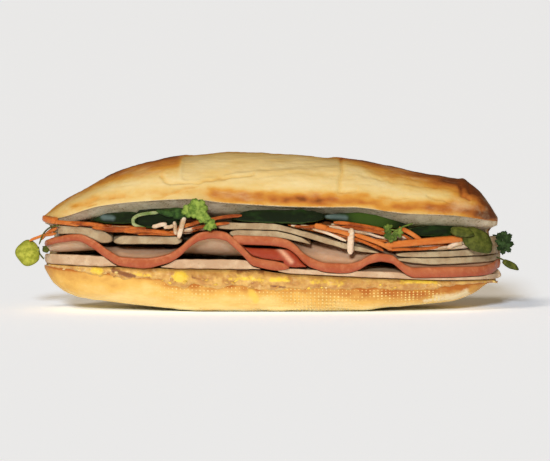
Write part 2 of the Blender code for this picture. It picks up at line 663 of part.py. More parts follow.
def coriander():
    sprig("coriander_left", [(-102.4, 41.6, 6.2), (-107, 39.4, 5.4), (-110.5, 35, 4.2), (-112.6, 30.6, 4.0),
                             (-114.6, 29, 4.0)], 0.6,
          [(-113.6, 28.8, 4.0, 190, 0.1, 8.8), (-114, 27.8, 3.9, 240, 0.15, 6.6),
           (-113.6, 30, 4.1, 148, 0.0, 6.0)], FRESH_LEAF)
    sprig("coriander_centre", [(-27, 41.6, 5.4), (-30.6, 44.2, 5.6), (-33.6, 48, 5.6), (-37, 51.4, 5.4)], 0.5,
          [(-33, 47.4, 5.6, 300, 0.1, 6.0), (-36.6, 51, 5.4, 130, 0.0, 6.4), (-30.4, 44, 5.6, 330, 0.1, 5.2),
           (-35, 49.4, 5.5, 205, 0.1, 5.4)], FRESH_LEAF)
    sprig("coriander_dark_leaf", [(-41.4, 47.6, 3.2), (-46, 48, 3.2), (-49, 48.2, 3.2)], 0.45,
          [(-46.4, 48, 3.2, 178, 0.0, 7.0)], DEEP_LEAF)
    sprig("coriander_middle", [(66, 41.6, 5.6), (61.6, 40, 5.8), (58, 39.4, 5.8)], 0.5,
          [(60, 39.8, 5.8, 250, 0.1, 5.4), (58.6, 39.4, 5.8, 185, 0.0, 5.0)], FRESH_LEAF)
    sprig("coriander_olive", [(94, 38.6, 5.6), (99, 37.4, 5.6), (103, 34.6, 5.4), (106, 31, 5.2)], 0.7,
          [(99, 37.2, 5.6, 320, 0.1, 7.6), (102, 35, 5.5, 290, 0.0, 6.0)], OLIVE_LEAF)
    sprig("coriander_right", [(108, 36.6, 6.2), (110.4, 35.4, 6.0), (112.4, 34.2, 5.8)], 0.5,
          [(110.6, 35.2, 6.0, 60, 0.0, 5.2), (111.4, 34.6, 6.0, 355, 0.1, 6.0),
           (111, 34.8, 6.0, 285, 0.0, 6.4)], CURLY_LEAF)
    sprig("coriander_tip", [(109.6, 26.4, 3.4), (112.6, 25, 3.4), (115.4, 23.6, 3.2)], 0.45,
          [(113.6, 24.5, 3.3, 325, 0.0, 7.4)], TIP_LEAF)


def clearScene():
    for item in list(bpy.data.objects):
        bpy.data.objects.remove(item)


clearScene()
roll()
spread()
porkSlices()
hamSlices()
upperSlices()
pickleHeaps()
cucumbers()
coriander()
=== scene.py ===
import math

import bmesh
import bpy
import numpy as np
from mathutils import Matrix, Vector


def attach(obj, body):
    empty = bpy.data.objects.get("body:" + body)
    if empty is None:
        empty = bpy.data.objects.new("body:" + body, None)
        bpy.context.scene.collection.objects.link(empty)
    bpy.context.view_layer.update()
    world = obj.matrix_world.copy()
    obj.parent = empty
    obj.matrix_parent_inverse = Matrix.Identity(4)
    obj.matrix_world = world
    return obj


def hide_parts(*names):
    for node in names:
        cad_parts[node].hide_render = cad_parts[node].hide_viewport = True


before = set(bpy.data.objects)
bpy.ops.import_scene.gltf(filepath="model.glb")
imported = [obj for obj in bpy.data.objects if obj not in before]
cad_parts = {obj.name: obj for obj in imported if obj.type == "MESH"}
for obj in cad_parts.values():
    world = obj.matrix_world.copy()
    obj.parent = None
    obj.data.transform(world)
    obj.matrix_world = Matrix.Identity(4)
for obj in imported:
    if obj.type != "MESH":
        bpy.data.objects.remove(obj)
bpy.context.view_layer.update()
mm = 0.001
chance = np.random.default_rng(11)

# The roll and its wedge of fillings, in millimetres, as in the part's source
roll = {
    "halfLength": 110.0, "halfDepth": 36.0, "planPower": 3.2, "planRound": 2.2, "planOver": 0.3,
    "planLimit": 0.9973, "lipBack": 0.5, "hingeWall": 6.0, "crownBack": 5.0, "flatShare": 0.42,
    "crownRound": 0.86, "backRound": 0.8, "underRound": 0.7, "cutFall": 0.29, "cutRise": 0.07,
    "endStepBack": 6.0, "endStepRun": 12.0, "bandDepth": 0.16, "waveDepth": 0.26,
    "crown": [(-110, 45.4), (-103, 51), (-91, 57.8), (-75, 66.3), (-60, 71.2), (-44, 74.2), (-18, 77),
              (9, 75.6), (36, 73.4), (55, 70.1), (72, 66.4), (94, 62), (100.5, 57.8), (105.6, 51.6),
              (110, 44.4)],
    "base": [(-110, 19.8), (-105, 12.5), (-96, 7.4), (-77, 4.2), (-48, 1.3), (-30, 0), (42, 0), (55, 1.6),
             (87, 4.4), (93, 6.2), (100, 9.6), (106, 13), (110, 12.4)],
    "upperLip": [(-110, 43.6), (-102, 45), (-83, 51), (-65, 53.4), (-39, 54.8), (-22, 53), (21, 51), (38, 51),
                 (64, 47.8), (86, 46.6), (110, 42.6)],
    "band": [(-110, 2), (-83, 3.2), (-39, 3.6), (-10, 2), (21, 0.8), (38, 1.6), (64, 3), (86, 3.2), (110, 2)],
    "lowerLip": [(-110, 21.4), (-90, 21), (-75, 19.8), (-48, 17.6), (-20, 16.2), (10, 15.2), (60, 14),
                 (110, 13.6)],
}
# Where each layer lies near the hinge, as shares of the height of the slit
shares = {"spread": (0.02, 0.08), "pork": (0.11, 0.22), "hamLow": (0.34, 0.43), "hamFold": (0.455, 0.5),
          "hamHigh": (0.525, 0.61), "sliceLow": (0.635, 0.72), "sliceHigh": (0.745, 0.83),
          "heap": (0.855, 0.91), "cucumber": (0.935, 0.985)}
# Room between one layer's front edge and the next, and the thinnest that an edge may get
gaps = {"ham": 0.25, "fold": 0.3, "spread": 0.35, "cut": 0.3, "least": 0.3}


def smooth(t):
    t = np.clip(t, 0.0, 1.0)
    return t * t * (3 - 2 * t)


def along(knots, x):
    # Monotone cubic through the knots, level past its ends
    xs, zs = np.array(knots, float).T
    x = np.clip(x, xs[0], xs[-1])
    width = np.diff(xs)
    slope = np.diff(zs) / width
    turn = slope[:-1] * slope[1:]
    total = np.where(turn > 0, slope[:-1] + slope[1:], 1.0)
    tangent = np.concatenate(([slope[0]], np.where(turn > 0, 2 * turn / total, 0.0), [slope[-1]]))
    k = np.clip(np.searchsorted(xs, x, side="right") - 1, 0, len(width) - 1)
    t = (x - xs[k]) / width[k]
    return (zs[k] * (1 + 2 * t) * (1 - t) ** 2 + zs[k + 1] * t * t * (3 - 2 * t)
            + width[k] * (tangent[k] * t * (1 - t) ** 2 - tangent[k + 1] * t * t * (1 - t)))


def bell(t):
    return np.exp(-t ** 2)


def together(*parts):
    return np.stack(np.broadcast_arrays(*parts), -1)


latticeSize = 256
rippleGain = 1.6
latticeSteps = chance.permutation(latticeSize)
latticeWays = chance.normal(size=(latticeSize, 3))
latticeWays /= np.linalg.norm(latticeWays, axis=1)[:, None]


def ripple(x, y, z):
    # Gradient noise from -1 to 1 over space
    p = together(x, y, z).astype(float)
    cell = np.floor(p).astype(int)
    inside = p - cell
    ease = inside ** 3 * (inside * (inside * 6 - 15) + 10)
    total = 0.0
    for corner in np.ndindex(2, 2, 2):
        key = 0
        for n in range(3):
            key = latticeSteps[(key + cell[..., n] + corner[n]) % latticeSize]
        weight = np.prod(np.where(np.array(corner) == 1, ease, 1 - ease), -1)
        total = total + weight * np.sum(latticeWays[key] * (inside - corner), -1)
    return total * rippleGain


def halfDepth(x):
    reach = np.minimum(np.abs(x) / (roll["halfLength"] + roll["planOver"]), roll["planLimit"])
    return roll["halfDepth"] * (1 - reach ** roll["planPower"]) ** (1 / roll["planRound"])


def frontLip(x):
    return -(halfDepth(x) - roll["lipBack"])


def hingeInside(x):
    depth = halfDepth(x)
    return depth - np.minimum(roll["hingeWall"], depth / 2)


def planY(x, v):
    return frontLip(x) + v * (hingeInside(x) - frontLip(x))


def planX(x, v):
    # Near the ends everything between the lips steps back towards the hinge
    near = smooth((np.abs(x) - roll["halfLength"]) / roll["endStepRun"] + 1)
    return x - np.sign(x) * roll["endStepBack"] * near * smooth(v)


def lowerCut(x, v):
    return along(roll["lowerLip"], x) + roll["cutRise"] * (planY(x, v) - frontLip(x))


def upperPlane(x, v):
    return along(roll["upperLip"], x) - along(roll["band"], x) - roll["cutFall"] * (planY(x, v) - frontLip(x))


def upperCut(x, v):
    return upperPlane(x, v) + along(roll["band"], x) * (1 - smooth(v / roll["bandDepth"]))


def wedgeHeight(x, v, front, share):
    # From a height at the front edge to a share of the slit further in
    low0, high0 = lowerCut(x, 0.0), upperPlane(x, 0.0)
    ease = smooth(v / roll["waveDepth"])
    part = (front - low0) / (high0 - low0) * (1 - ease) + share * ease
    return lowerCut(x, v) + part * (upperPlane(x, v) - lowerCut(x, v))


def placesAlong(start, end, step, crowd=0.0):
    # Places from start to end, closer together towards both ends
    count = max(int((end - start) / step), 4)
    t = np.linspace(-1, 1, count + 1)
    t = (1 - crowd) * t + crowd * np.sin(math.pi * t / 2)
    return start + (end - start) * (t + 1) / 2


def lineDistance(x, z, points):
    # How far off a line of points a place lies, seen from the front
    away = np.full(np.broadcast(x, z).shape, np.inf)
    for (x0, z0), (x1, z1) in zip(points, points[1:]):
        dx, dz = x1 - x0, z1 - z0
        t = np.clip(((x - x0) * dx + (z - z0) * dz) / (dx ** 2 + dz ** 2), 0, 1)
        away = np.minimum(away, np.hypot(x - x0 - t * dx, z - z0 - t * dz))
    return away


def spots(rows, x, z):
    # Soft marks along lines: each row is a strength, a width and the points of its line
    total = np.zeros(np.broadcast(x, z).shape)
    for strength, wide, points in rows:
        total = np.maximum(total, strength * bell(lineDistance(x, z, points) / wide))
    return total


def mounds(rows, x, z):
    # Soft bumps: each row is a height, then middle and width along x and along z
    return sum(high * bell((x - x0) / wide) * bell((z - z0) / tall) for high, x0, wide, z0, tall in rows)


def smoothPath(knots, count):
    # Evenly numbered points on a curve through the knots
    t = np.linspace(0, len(knots) - 1, count)
    return np.stack([along(list(enumerate(column)), t) for column in np.array(knots, float).T], -1)


def lineOf(knots):
    return lambda x: along(knots, x)


# Shader helpers: arithmetic on sockets, and one call for any other node
class Wire:
    def __init__(self, tree, socket):
        self.tree, self.socket = tree, socket

    def join(self, operation, other, turned=False):
        node = self.tree.nodes.new("ShaderNodeMath")
        node.operation = operation
        for place, side in zip(node.inputs, (other, self) if turned else (self, other)):
            plug(self.tree, place, side)
        return Wire(self.tree, node.outputs[0])

    def __add__(self, other):
        return self.join("ADD", other)

    def __radd__(self, other):
        return self.join("ADD", other, True)

    def __sub__(self, other):
        return self.join("SUBTRACT", other)

    def __rsub__(self, other):
        return self.join("SUBTRACT", other, True)

    def __mul__(self, other):
        return self.join("MULTIPLY", other)

    def __rmul__(self, other):
        return self.join("MULTIPLY", other, True)


def plug(tree, socket, value):
    if isinstance(value, Wire):
        tree.links.new(value.socket, socket)
    elif isinstance(value, (tuple, list)) and len(value) == 3 and socket.type == "RGBA":
        socket.default_value = (*value, 1.0)
    else:
        socket.default_value = value


class Finish:
    def __init__(self, name, constants):
        self.material = bpy.data.materials.new(name)
        self.material.use_nodes = True
        self.tree = self.material.node_tree
        self.shader = self.tree.nodes["Principled BSDF"]
        for key, value in constants.items():
            plug(self.tree, self.shader.inputs[key], value)

    def node(self, kind, settings=None, inputs=None, output=0):
        made = self.tree.nodes.new("ShaderNode" + kind)
        for key, value in (settings or {}).items():
            if key == "stops":
                self.setStops(made.color_ramp, value)
            else:
                setattr(made, key, value)
        for key, value in (inputs or {}).items():
            plug(self.tree, made.inputs[key], value)
        return Wire(self.tree, made.outputs[output])

    def setStops(self, ramp, stops):
        while len(ramp.elements) < len(stops):
            ramp.elements.new(1.0)
        for element, (place, colour) in zip(ramp.elements, stops):
            element.position = place
            element.color = (*colour, 1.0) if isinstance(colour, tuple) else (colour, colour, colour, 1.0)

    def place(self):
        return self.node("TexCoord", output=3)

    def stored(self, name):
        return self.node("Attribute", {"attribute_name": name}, output=2)

    def noise(self, size, detail=4.0, roughness=0.55, stretch=(1, 1, 1)):
        # Noise whose main blobs are about size millimetres across
        where = self.node("Mapping", {}, {"Vector": self.place(), "Scale": stretch})
        return self.node("TexNoise", {}, {"Vector": where, "Scale": 1 / (size * mm), "Detail": detail,
                                          "Roughness": roughness})

    def cells(self, size):
        return self.node("TexVoronoi", {}, {"Vector": self.place(), "Scale": 1 / (size * mm)})

    def ramp(self, factor, stops):
        return self.node("ValToRGB", {"stops": stops}, {"Fac": factor})

    def step(self, factor, low, high):
        return self.node("MapRange", {"interpolation_type": "SMOOTHSTEP"},
                         {"Value": factor, "From Min": low, "From Max": high})

    def blend(self, factor, first, second):
        return self.node("Mix", {"data_type": "RGBA"}, {0: factor, 6: first, 7: second}, 2)

    def bump(self, height, strength, distance):
        return self.node("Bump", {}, {"Height": height, "Strength": strength, "Distance": distance * mm})

    def paint(self, **sockets):
        for key, value in sockets.items():
            plug(self.tree, self.shader.inputs[key.replace("_", " ")], value)
        return self.material


def soft(weight, scale, *reach):
    # Light that goes a little way in: how much, and how far for red, green and blue in millimetres
    return {"Subsurface Weight": weight, "Subsurface Scale": scale,
            "Subsurface Radius": tuple(far * mm for far in reach)}


# Mesh helpers
def meshPiece(name, points, faces, finish, stored=None):
    mesh = bpy.data.meshes.new(name)
    mesh.from_pydata((np.asarray(points).reshape(-1, 3) * mm).tolist(), [], faces)
    for key, values in (stored or {}).items():
        layer = mesh.attributes.new(key, "FLOAT", "POINT")
        layer.data.foreach_set("value", np.asarray(values, np.float32).ravel())
    shell = bmesh.new()
    shell.from_mesh(mesh)
    bmesh.ops.recalc_face_normals(shell, faces=shell.faces)
    shell.to_mesh(mesh)
    shell.free()
    mesh.shade_smooth()
    mesh.materials.append(finish)
    made = bpy.data.objects.new(name, mesh)
    bpy.context.scene.collection.objects.link(made)
    return made


def loopFaces(count, size):
    # Quads along a row of closed loops, with both end loops filled
    i, k = np.meshgrid(np.arange(count - 1), np.arange(size), indexing="ij")
    a = i * size + k
    b = i * size + (k + 1) % size
    faces = np.stack([a, a + size, b + size, b], -1).reshape(-1, 4).tolist()
    return faces + [list(range(size)), list(range((count - 1) * size, count * size))]


def gridFaces(count, size):
    return [[i * size + k, i * size + k + 1, (i + 1) * size + k + 1, (i + 1) * size + k]
            for i in range(count - 1) for k in range(size - 1)]


def settle(piece, slot, *nodes):
    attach(piece, "root")
    if nodes:
        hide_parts(*nodes)


# Bread
breadLook = {
    "step": 0.75, "crowd": 0.3,
    "pale": (0.64, 0.49, 0.225), "straw": (0.60, 0.40, 0.13), "gold": (0.53, 0.24, 0.036),
    "brown": (0.38, 0.115, 0.018), "dark": (0.12, 0.028, 0.006), "flour": (0.72, 0.58, 0.33),
    "underside": (0.80, 0.62, 0.27), "underGold": (0.66, 0.38, 0.085),
    # poreShade: painted shade in the pores of the crumb
    "crumb": (0.60, 0.46, 0.29), "crumbLight": (0.74, 0.61, 0.42), "poreShade": (0.32, 0.21, 0.11),
    "tear": (0.74, 0.58, 0.33), "yolk": (0.74, 0.47, 0.07),
    "capStart": [(-110, 0.3), (-95, 0.5), (-76, 0.46), (-45, 0.36), (-42, 0.8), (30, 0.84), (42, 0.62),
                 (64, 0.45), (90, 0.3), (110, 0.1)],
    "capBrown": [(-110, 0.5), (-90, 0.6), (-76, 0.75), (-46, 0.85), (-42, 0.55), (-10, 0.6), (30, 0.62),
                 (50, 0.78), (75, 0.88), (110, 0.95)],
    "backBrown": [(-110, 0.66), (-60, 0.6), (-20, 0.5), (30, 0.54), (70, 0.7), (110, 0.85)],
    "lipGold": [(-110, 0.3), (-88, 0.46), (-66, 0.36), (-36, 0.4), (-27, 0.85), (20, 1.05), (40, 0.9),
                (60, 0.84), (110, 0.8)],
    # creaseShade: painted shade, how much darker the crust is along its creases
    "lipSpots": 0.42, "paleBake": 0.1, "leftBake": 0.12, "rightBake": 0.34, "creaseShade": 0.17,
    "crownEdge": 0.3, "underBake": 0.12, "underEnds": 0.18, "baseBake": 0.14, "lowLip": 0.5, "lipTan": 0.42,
    "underSpot": [(0.3, 62, 22, 9, 5)],
    # The score that opened while it baked: its two ends, how it leans and closes, its floor and depth
    "scoreEnds": (-45, 34.5), "scoreLean": 2, "scoreShift": 44, "scoreNarrow": 80, "scoreWander": 5,
    "scoreFloor": [(-47, 0.56), (-38, 0.4), (-25, 0.5), (-9, 0.62), (35, 0.8)], "scoreDeep": 0.75,
    "scorePale": 0.55,
    # Bumps: height, size along x, y and z, shift
    "bumps": [(0.5, 17, 19, 15, 0), (0.25, 7, 6, 4, 9), (0.1, 2.4, 2.1, 1.5, 0), (0.12, 5, 2, 1.1, 3)],
    "shoulder": [(0.5, -52, 9, 0.8, 0.22)], "knobs": [(1.1, 93, 2.2, 61.5, 2.0), (0.5, -45, 8, 60, 1.4)],
    "liftUp": 1.6, "poreSize": 1.7,
    "torn": [(0.8, 2.6, [(80, 6.4), (87, 6.8), (94, 9)]), (0.75, 1.2, [(74, 5.4), (82, 6.6)])],
    "stains": [(0.9, 2.6, [(-9.6, 10.6), (-7.4, 6.4)]), (0.6, 1.8, [(2, 12), (8, 11.4)]),
               (0.5, 2.0, [(66, 11), (76, 10.6)])],
}
# How far round the crust a place is: 0 upper lip, 1 crown, 2 back, 3 and 3.3 ends of the base, then this
lowLipPlace = 4.3

# Lines pressed or cracked into the crust, seen from the front: depth, width, then x and z along the line
creases = [
    (0.9, 0.8, [(-52.8, 65.8), (-50.9, 63.6), (-46.1, 62.4), (-37.4, 62.6), (-25, 65.3), (-8.6, 67)]),
    (0.8, 0.9, [(-56.2, 54.7), (-49.9, 57.3), (-46.1, 58.6), (-37.4, 61.4)]),
    (0.8, 0.9, [(34.3, 74.5), (33.6, 66), (32.8, 58.5)]), (0.5, 0.7, [(33, 58), (41.7, 58.5)]),
    (0.5, 0.7, [(75.3, 56.4), (79.5, 54.8), (88.8, 52.2)]),
    (0.9, 0.8, [(91.2, 60.4), (92.2, 56.4), (95.6, 54.4)]),
    (0.7, 0.6, [(95.5, 60.5), (96.4, 57.2)]), (0.5, 1.0, [(-89, 53.6), (-80, 55.8), (-71, 56)]),
    (0.4, 0.8, [(-96, 50.6), (-84, 53)]), (0.35, 1.2, [(-8, 66), (12, 67.4), (30, 66.2)]),
    (0.4, 0.8, [(2, 60), (10, 57.8), (16, 54.6)]), (0.35, 0.8, [(44, 66), (62, 62), (80, 60)]),
    (0.35, 0.8, [(-28, 58.4), (-16, 57.4), (-4, 58.8)]), (0.4, 0.6, [(52, 56.4), (60, 55.2), (66, 55.6)]),
]


def quarter(a, start, end, roundness):
    # A quarter of a rounded oval from start to end, each y and z
    angle = a * math.pi / 2
    c = np.abs(np.cos(angle)) ** roundness
    s = np.abs(np.sin(angle)) ** roundness
    return end[0] + (start[0] - end[0]) * c, start[1] + (end[1] - start[1]) * s


def creaseDepth(x, z):
    bend, size = 0.9, 5
    bentX = x + bend * ripple(x / size, z / size, 5.0)
    return spots(creases, bentX, z + bend * ripple(x / size, z / size, 9.0))


def pastCrown(x, around):
    # Behind the crown the ends of the score draw together
    look = breadLook
    beyond = smooth((around - 0.97) / 0.6)
    narrow = look["scoreNarrow"] * smooth((x - look["scoreEnds"][0]) / look["scoreNarrow"])
    return x - beyond * (look["scoreShift"] - narrow + look["scoreWander"] * ripple(x / 8, around * 5, 2.5))


def slash(x, rise):
    # Where the score opened: a lower, paler strip between the brown patch and the short cut
    look = breadLook
    left, right = look["scoreEnds"]
    ends = smooth((x - left - look["scoreLean"] * rise) / 1.6) * smooth((right - x) / 3)
    floorLine = along(look["scoreFloor"], x) + 0.05 * ripple(x / 6, 1.5, 2.5)
    return ends * smooth((rise - floorLine) / 0.1)


def breadLoops(x):
    # Cross sections of the crust, from the upper lip round the back to the lower one
    depth = halfDepth(x)
    lipY, upper, lower = frontLip(x), along(roll["upperLip"], x), along(roll["lowerLip"], x)
    crown = (-roll["crownBack"] * depth / roll["halfDepth"], along(roll["crown"], x))
    back = (depth, (lowerCut(x, 1.0) + upperPlane(x, 1.0)) / 2)
    base, flat = along(roll["base"], x), roll["flatShare"] * depth
    parts, around = [], []
    rows = [(np.linspace(0, 1, 84) ** 1.1, (lipY, upper), crown, roll["crownRound"], 0.0, 1.0),
            (np.linspace(1, 0, 44)[1:], back, crown, roll["crownRound"], 2.0, -1.0),
            (np.linspace(0, 1, 28)[1:], back, (flat, base), roll["backRound"], 2.0, 1.0),
            (np.linspace(1, 0, 60), (lipY, lower), (-flat, base), roll["underRound"], lowLipPlace, -1.0)]
    for a, start, end, roundness, first, way in rows:
        parts.append(together(x, *quarter(a[None, :], start, end, roundness)))
        around.append(np.broadcast_to(first + way * a, (len(x), len(a))))
    return np.concatenate(parts, 1), np.concatenate(around, 1)


def crustLift(x, y, z, around, rise):
    # How far the crust stands off its plain form, level at the lips and where it rests
    look = breadLook
    bump = sum(high * ripple(x / wide, y / deep, z / tall + shift)
               for high, wide, deep, tall, shift in look["bumps"])
    shape = mounds(look["shoulder"], x, rise) + mounds(look["knobs"], x, z)
    shape = shape - look["scoreDeep"] * slash(pastCrown(x, around), rise)
    shape = shape * smooth((1.6 - around) / 0.5)
    resting = (around > 2.85) & (around < 3.45)
    fade = smooth(around / 0.1) * smooth((lowLipPlace - around) / 0.2) * np.where(resting, 0, 1)
    fade = fade * np.minimum(1.0, halfDepth(x) / 20)
    return (bump + shape - creaseDepth(x, z) * np.where(around < 1, 1, 0)) * fade


def bakeAmount(x, y, z, around, rise):
    # How dark the crust has baked, from 0 (cream) to 1 (dark brown), with painted shade added along the
    # creases
    look = breadLook
    streak = 0.5 + 0.5 * ripple(x / 14, y / 9, z / 3.2 + 4)
    blotch = 0.5 + 0.5 * ripple(x / 5, y / 6, z / 3 + 7)
    scored = pastCrown(x, around)
    start = along(look["capStart"], scored) + 0.12 * ripple(x / 8, z / 9, 3.3)
    front = smooth((rise - start) / (1.08 - start)) * along(look["capBrown"], scored) * (0.8 + 0.4 * streak)
    front = front * (1 - look["scorePale"] * slash(scored, rise))
    behind = along(look["backBrown"], x) * (0.85 + 0.3 * ripple(x / 15, y / 15, z / 20))
    behind = behind * (1 - 0.4 * smooth((around - 1.5) / 0.8))
    join = smooth((around - 1) / 0.5)
    behind = front * (1 - join) + behind * join
    lipHeight = z - along(roll["upperLip"], x)
    lip = bell((lipHeight - 3.4) / 4.0) * along(look["lipGold"], x) * (0.55 + 0.9 * blotch * streak)
    dabs = smooth((ripple(x / 4.6, 2.2, z / 2.2) - 0.32) / 0.3) * bell((lipHeight - 4.4) / 3.2)
    dabs = dabs * look["lipSpots"] * smooth((x + 92) / 40)
    end = smooth((x - 70) / 42) * (look["rightBake"] + 0.3 * streak)
    cloud = ripple(x / 13, y / 9, z / 5)
    pale = look["paleBake"] * (1 + cloud) + look["leftBake"] * smooth((-70 - x) / 30)
    # Painted shade: the crust darker along its creases
    folds = look["creaseShade"] * np.clip(creaseDepth(x, z), 0, 1)
    faceBake = np.maximum.reduce([pale, front, lip, dabs]) + end + folds
    under = look["underBake"] * (1 + ripple(x / 12, y / 9, z / 5))
    under = under + look["underEnds"] * smooth((np.abs(x + 4) - 70) / 36)
    under = under + look["baseBake"] * smooth((around - 3.6) / 0.35)
    tan = look["lipTan"] * bell((lowLipPlace - around) / 0.2) * (0.3 + 1.1 * blotch)
    tan = tan * (0.4 + 0.6 * smooth((x + 70) / 40) * smooth((108 - x) / 20))
    lowLip = look["lowLip"] * bell((lowLipPlace - around) / 0.03) + tan + mounds(look["underSpot"], x, z)
    edge = look["crownEdge"] * bell((around - 1.0) / 0.06)
    bake = np.where(around < 1, faceBake, np.where(around < 2.5, behind + end, under + lowLip))
    return np.clip(bake + edge, 0, 1)


def breadFinish():
    look = breadLook
    make = Finish("bakedCrust", {"Specular IOR Level": 0.2, **soft(0.06, 0.5, 4, 2, 1)})
    cloud = make.noise(6, 6, 0.62, (0.45, 1, 1)) - 0.5
    grain = make.noise(1.6, 4, 0.7, (0.6, 1, 1)) - 0.5
    bake = make.stored("bake") + cloud * 0.34 + grain * 0.16
    crust = make.ramp(bake, [(0.0, look["pale"]), (0.24, look["straw"]), (0.5, look["gold"]),
                             (0.78, look["brown"]), (1.0, look["dark"])])
    flour = make.step(make.noise(9, 5, 0.6, (0.4, 1, 1)), 0.5, 0.75)
    crust = make.blend(flour * 0.3, crust, look["flour"])
    below = make.ramp(bake, [(0.0, look["underside"]), (0.35, look["underGold"]), (0.7, look["brown"])])
    crust = make.blend(make.stored("below"), crust, below)
    # Painted shade in the pores of the crumb
    pores = make.step(make.cells(1.3), 0.12, 0.42)
    crumb = make.blend(pores, look["poreShade"], look["crumb"])
    crumb = make.blend(make.step(make.noise(5), 0.4, 0.65) * 0.8, crumb, look["crumbLight"])
    patch = make.step(make.stored("stain") + (make.noise(2.4, 4) - 0.5) * 0.8, 0.3, 0.9)
    crust = make.blend(patch * 0.7, crust, look["yolk"])
    crumb = make.blend(make.stored("below"), crumb, look["tear"])
    bare = make.stored("crumb") + (make.noise(3.2, 5, 0.65, (0.6, 1, 1)) - 0.5) * 1.1
    colour = make.blend(make.step(bare, 0.3, 0.75), crust, crumb)
    height = make.noise(1.3, 6, 0.68) * (0.6 + make.stored("crumb") * 1.2)
    return make.paint(Base_Color=colour, Normal=make.bump(height, 0.45, 0.5),
                      Roughness=0.48 + grain * 0.3 + make.stored("crumb") * 0.35)


def makeBread():
    look = breadLook
    x = placesAlong(-roll["halfLength"], roll["halfLength"], look["step"], look["crowd"])[:, None]
    crust, around = breadLoops(x)
    y, z = crust[..., 1], crust[..., 2]
    rise = (z - along(roll["upperLip"], x)) / (along(roll["crown"], x) - along(roll["upperLip"], x))
    rise = np.where(around < 1, rise, np.where(around < 2, 1.0 - (around - 1) * 0.2, 0.0))
    lift = crustLift(x, y, z, around, rise)
    middle = (along(roll["upperLip"], x) + along(roll["lowerLip"], x)) / 2
    outward = np.stack([np.zeros_like(y), y, (z - middle) * look["liftUp"]], -1)
    outward /= np.linalg.norm(outward, axis=-1)[..., None]
    crust = crust + outward * lift[..., None]
    crust[..., 0] = planX(crust[..., 0], np.clip(1 - np.abs(around - 2), 0, 1))
    v = np.linspace(0, 1, 44)[None, 1:] ** 1.3
    lower = together(planX(x, v), planY(x, v), lowerCut(x, v))
    upper = together(planX(x, v), planY(x, v), upperCut(x, v))[:, ::-1]
    crumbs = np.concatenate([lower, upper], 1)
    where = np.moveaxis(crumbs / look["poreSize"], -1, 0)
    grain = np.abs(0.5 * ripple(*where)) + np.abs(0.25 * ripple(*where * 2.6))
    crumbs[..., 2] += np.where(np.arange(crumbs.shape[1]) < lower.shape[1], -0.5, 1) * grain
    loops = np.concatenate([crust, crumbs], 1)
    front = np.where(around > 3.4, 1, 0)
    inside = np.zeros(crumbs.shape[:2])
    stored = {"bake": (bakeAmount(x, y, z, around, rise), inside),
              "crumb": (front * spots(look["torn"], x, z), inside + 1),
              "below": (smooth((around - 2.3) / 0.5), inside),
              "stain": (front * spots(look["stains"], x, z), inside)}
    stored = {key: np.concatenate(halves, 1) for key, halves in stored.items()}
    stored["crumb"][:, [0, around.shape[1] - 1]] = 0.7
    stored["crumb"][:, 1] = 0.25
    bread = meshPiece("roll", loops, loopFaces(len(x), loops.shape[1]), breadFinish(), stored)
    settle(bread, "bread_crust", "bread_roll")
    print("bread: roll with baked crust and cut faces")


def growOn(base, finish, given, build):
    # Runs a small Geometry Nodes tree with these inputs over a mesh and keeps the plain mesh that comes out
    tree = bpy.data.node_groups.new(base.name + "Nodes", "GeometryNodeTree")
    tree.interface.new_socket("Geometry", in_out="INPUT", socket_type="NodeSocketGeometry")
    kinds = {int: "NodeSocketInt", float: "NodeSocketFloat"}
    sockets = {name: tree.interface.new_socket(name, in_out="INPUT", socket_type=kinds[type(value)])
               for name, value in given.items()}
    tree.interface.new_socket("Geometry", in_out="OUTPUT", socket_type="NodeSocketGeometry")
    source, sink = tree.nodes.new("NodeGroupInput"), tree.nodes.new("NodeGroupOutput")

    def node(kind, settings=None, inputs=None, output=0):
        made = tree.nodes.new(kind)
        for key, value in (settings or {}).items():
            setattr(made, key, value)
        for key, value in (inputs or {}).items():
            if isinstance(value, bpy.types.NodeSocket):
                tree.links.new(value, made.inputs[key])
            else:
                made.inputs[key].default_value = value
        return made.outputs[output]

    grown = build(node, source.outputs)
    painted = node("GeometryNodeSetMaterial", {}, {"Geometry": grown, "Material": finish})
    tree.links.new(painted, sink.inputs[0])
    modifier = base.modifiers.new("grow", "NODES")
    modifier.node_group = tree
    for name, value in given.items():
        modifier[sockets[name].identifier] = value
    seen = base.evaluated_get(bpy.context.evaluated_depsgraph_get())
    mesh = bpy.data.meshes.new_from_object(seen)
    base.modifiers.clear()
    base.data = mesh
    mesh.shade_smooth()
    return base


trayLook = {"pitch": 1.9, "rows": 7, "span": (-74, 92), "fades": (34, 16), "from": 0.24, "to": 0.9,
            "size": 0.52, "flat": 0.5, "vary": (0.8, 1.15), "least": 0.3, "tone": (0.66, 0.44, 0.13),
            "light": (0.74, 0.55, 0.21)}


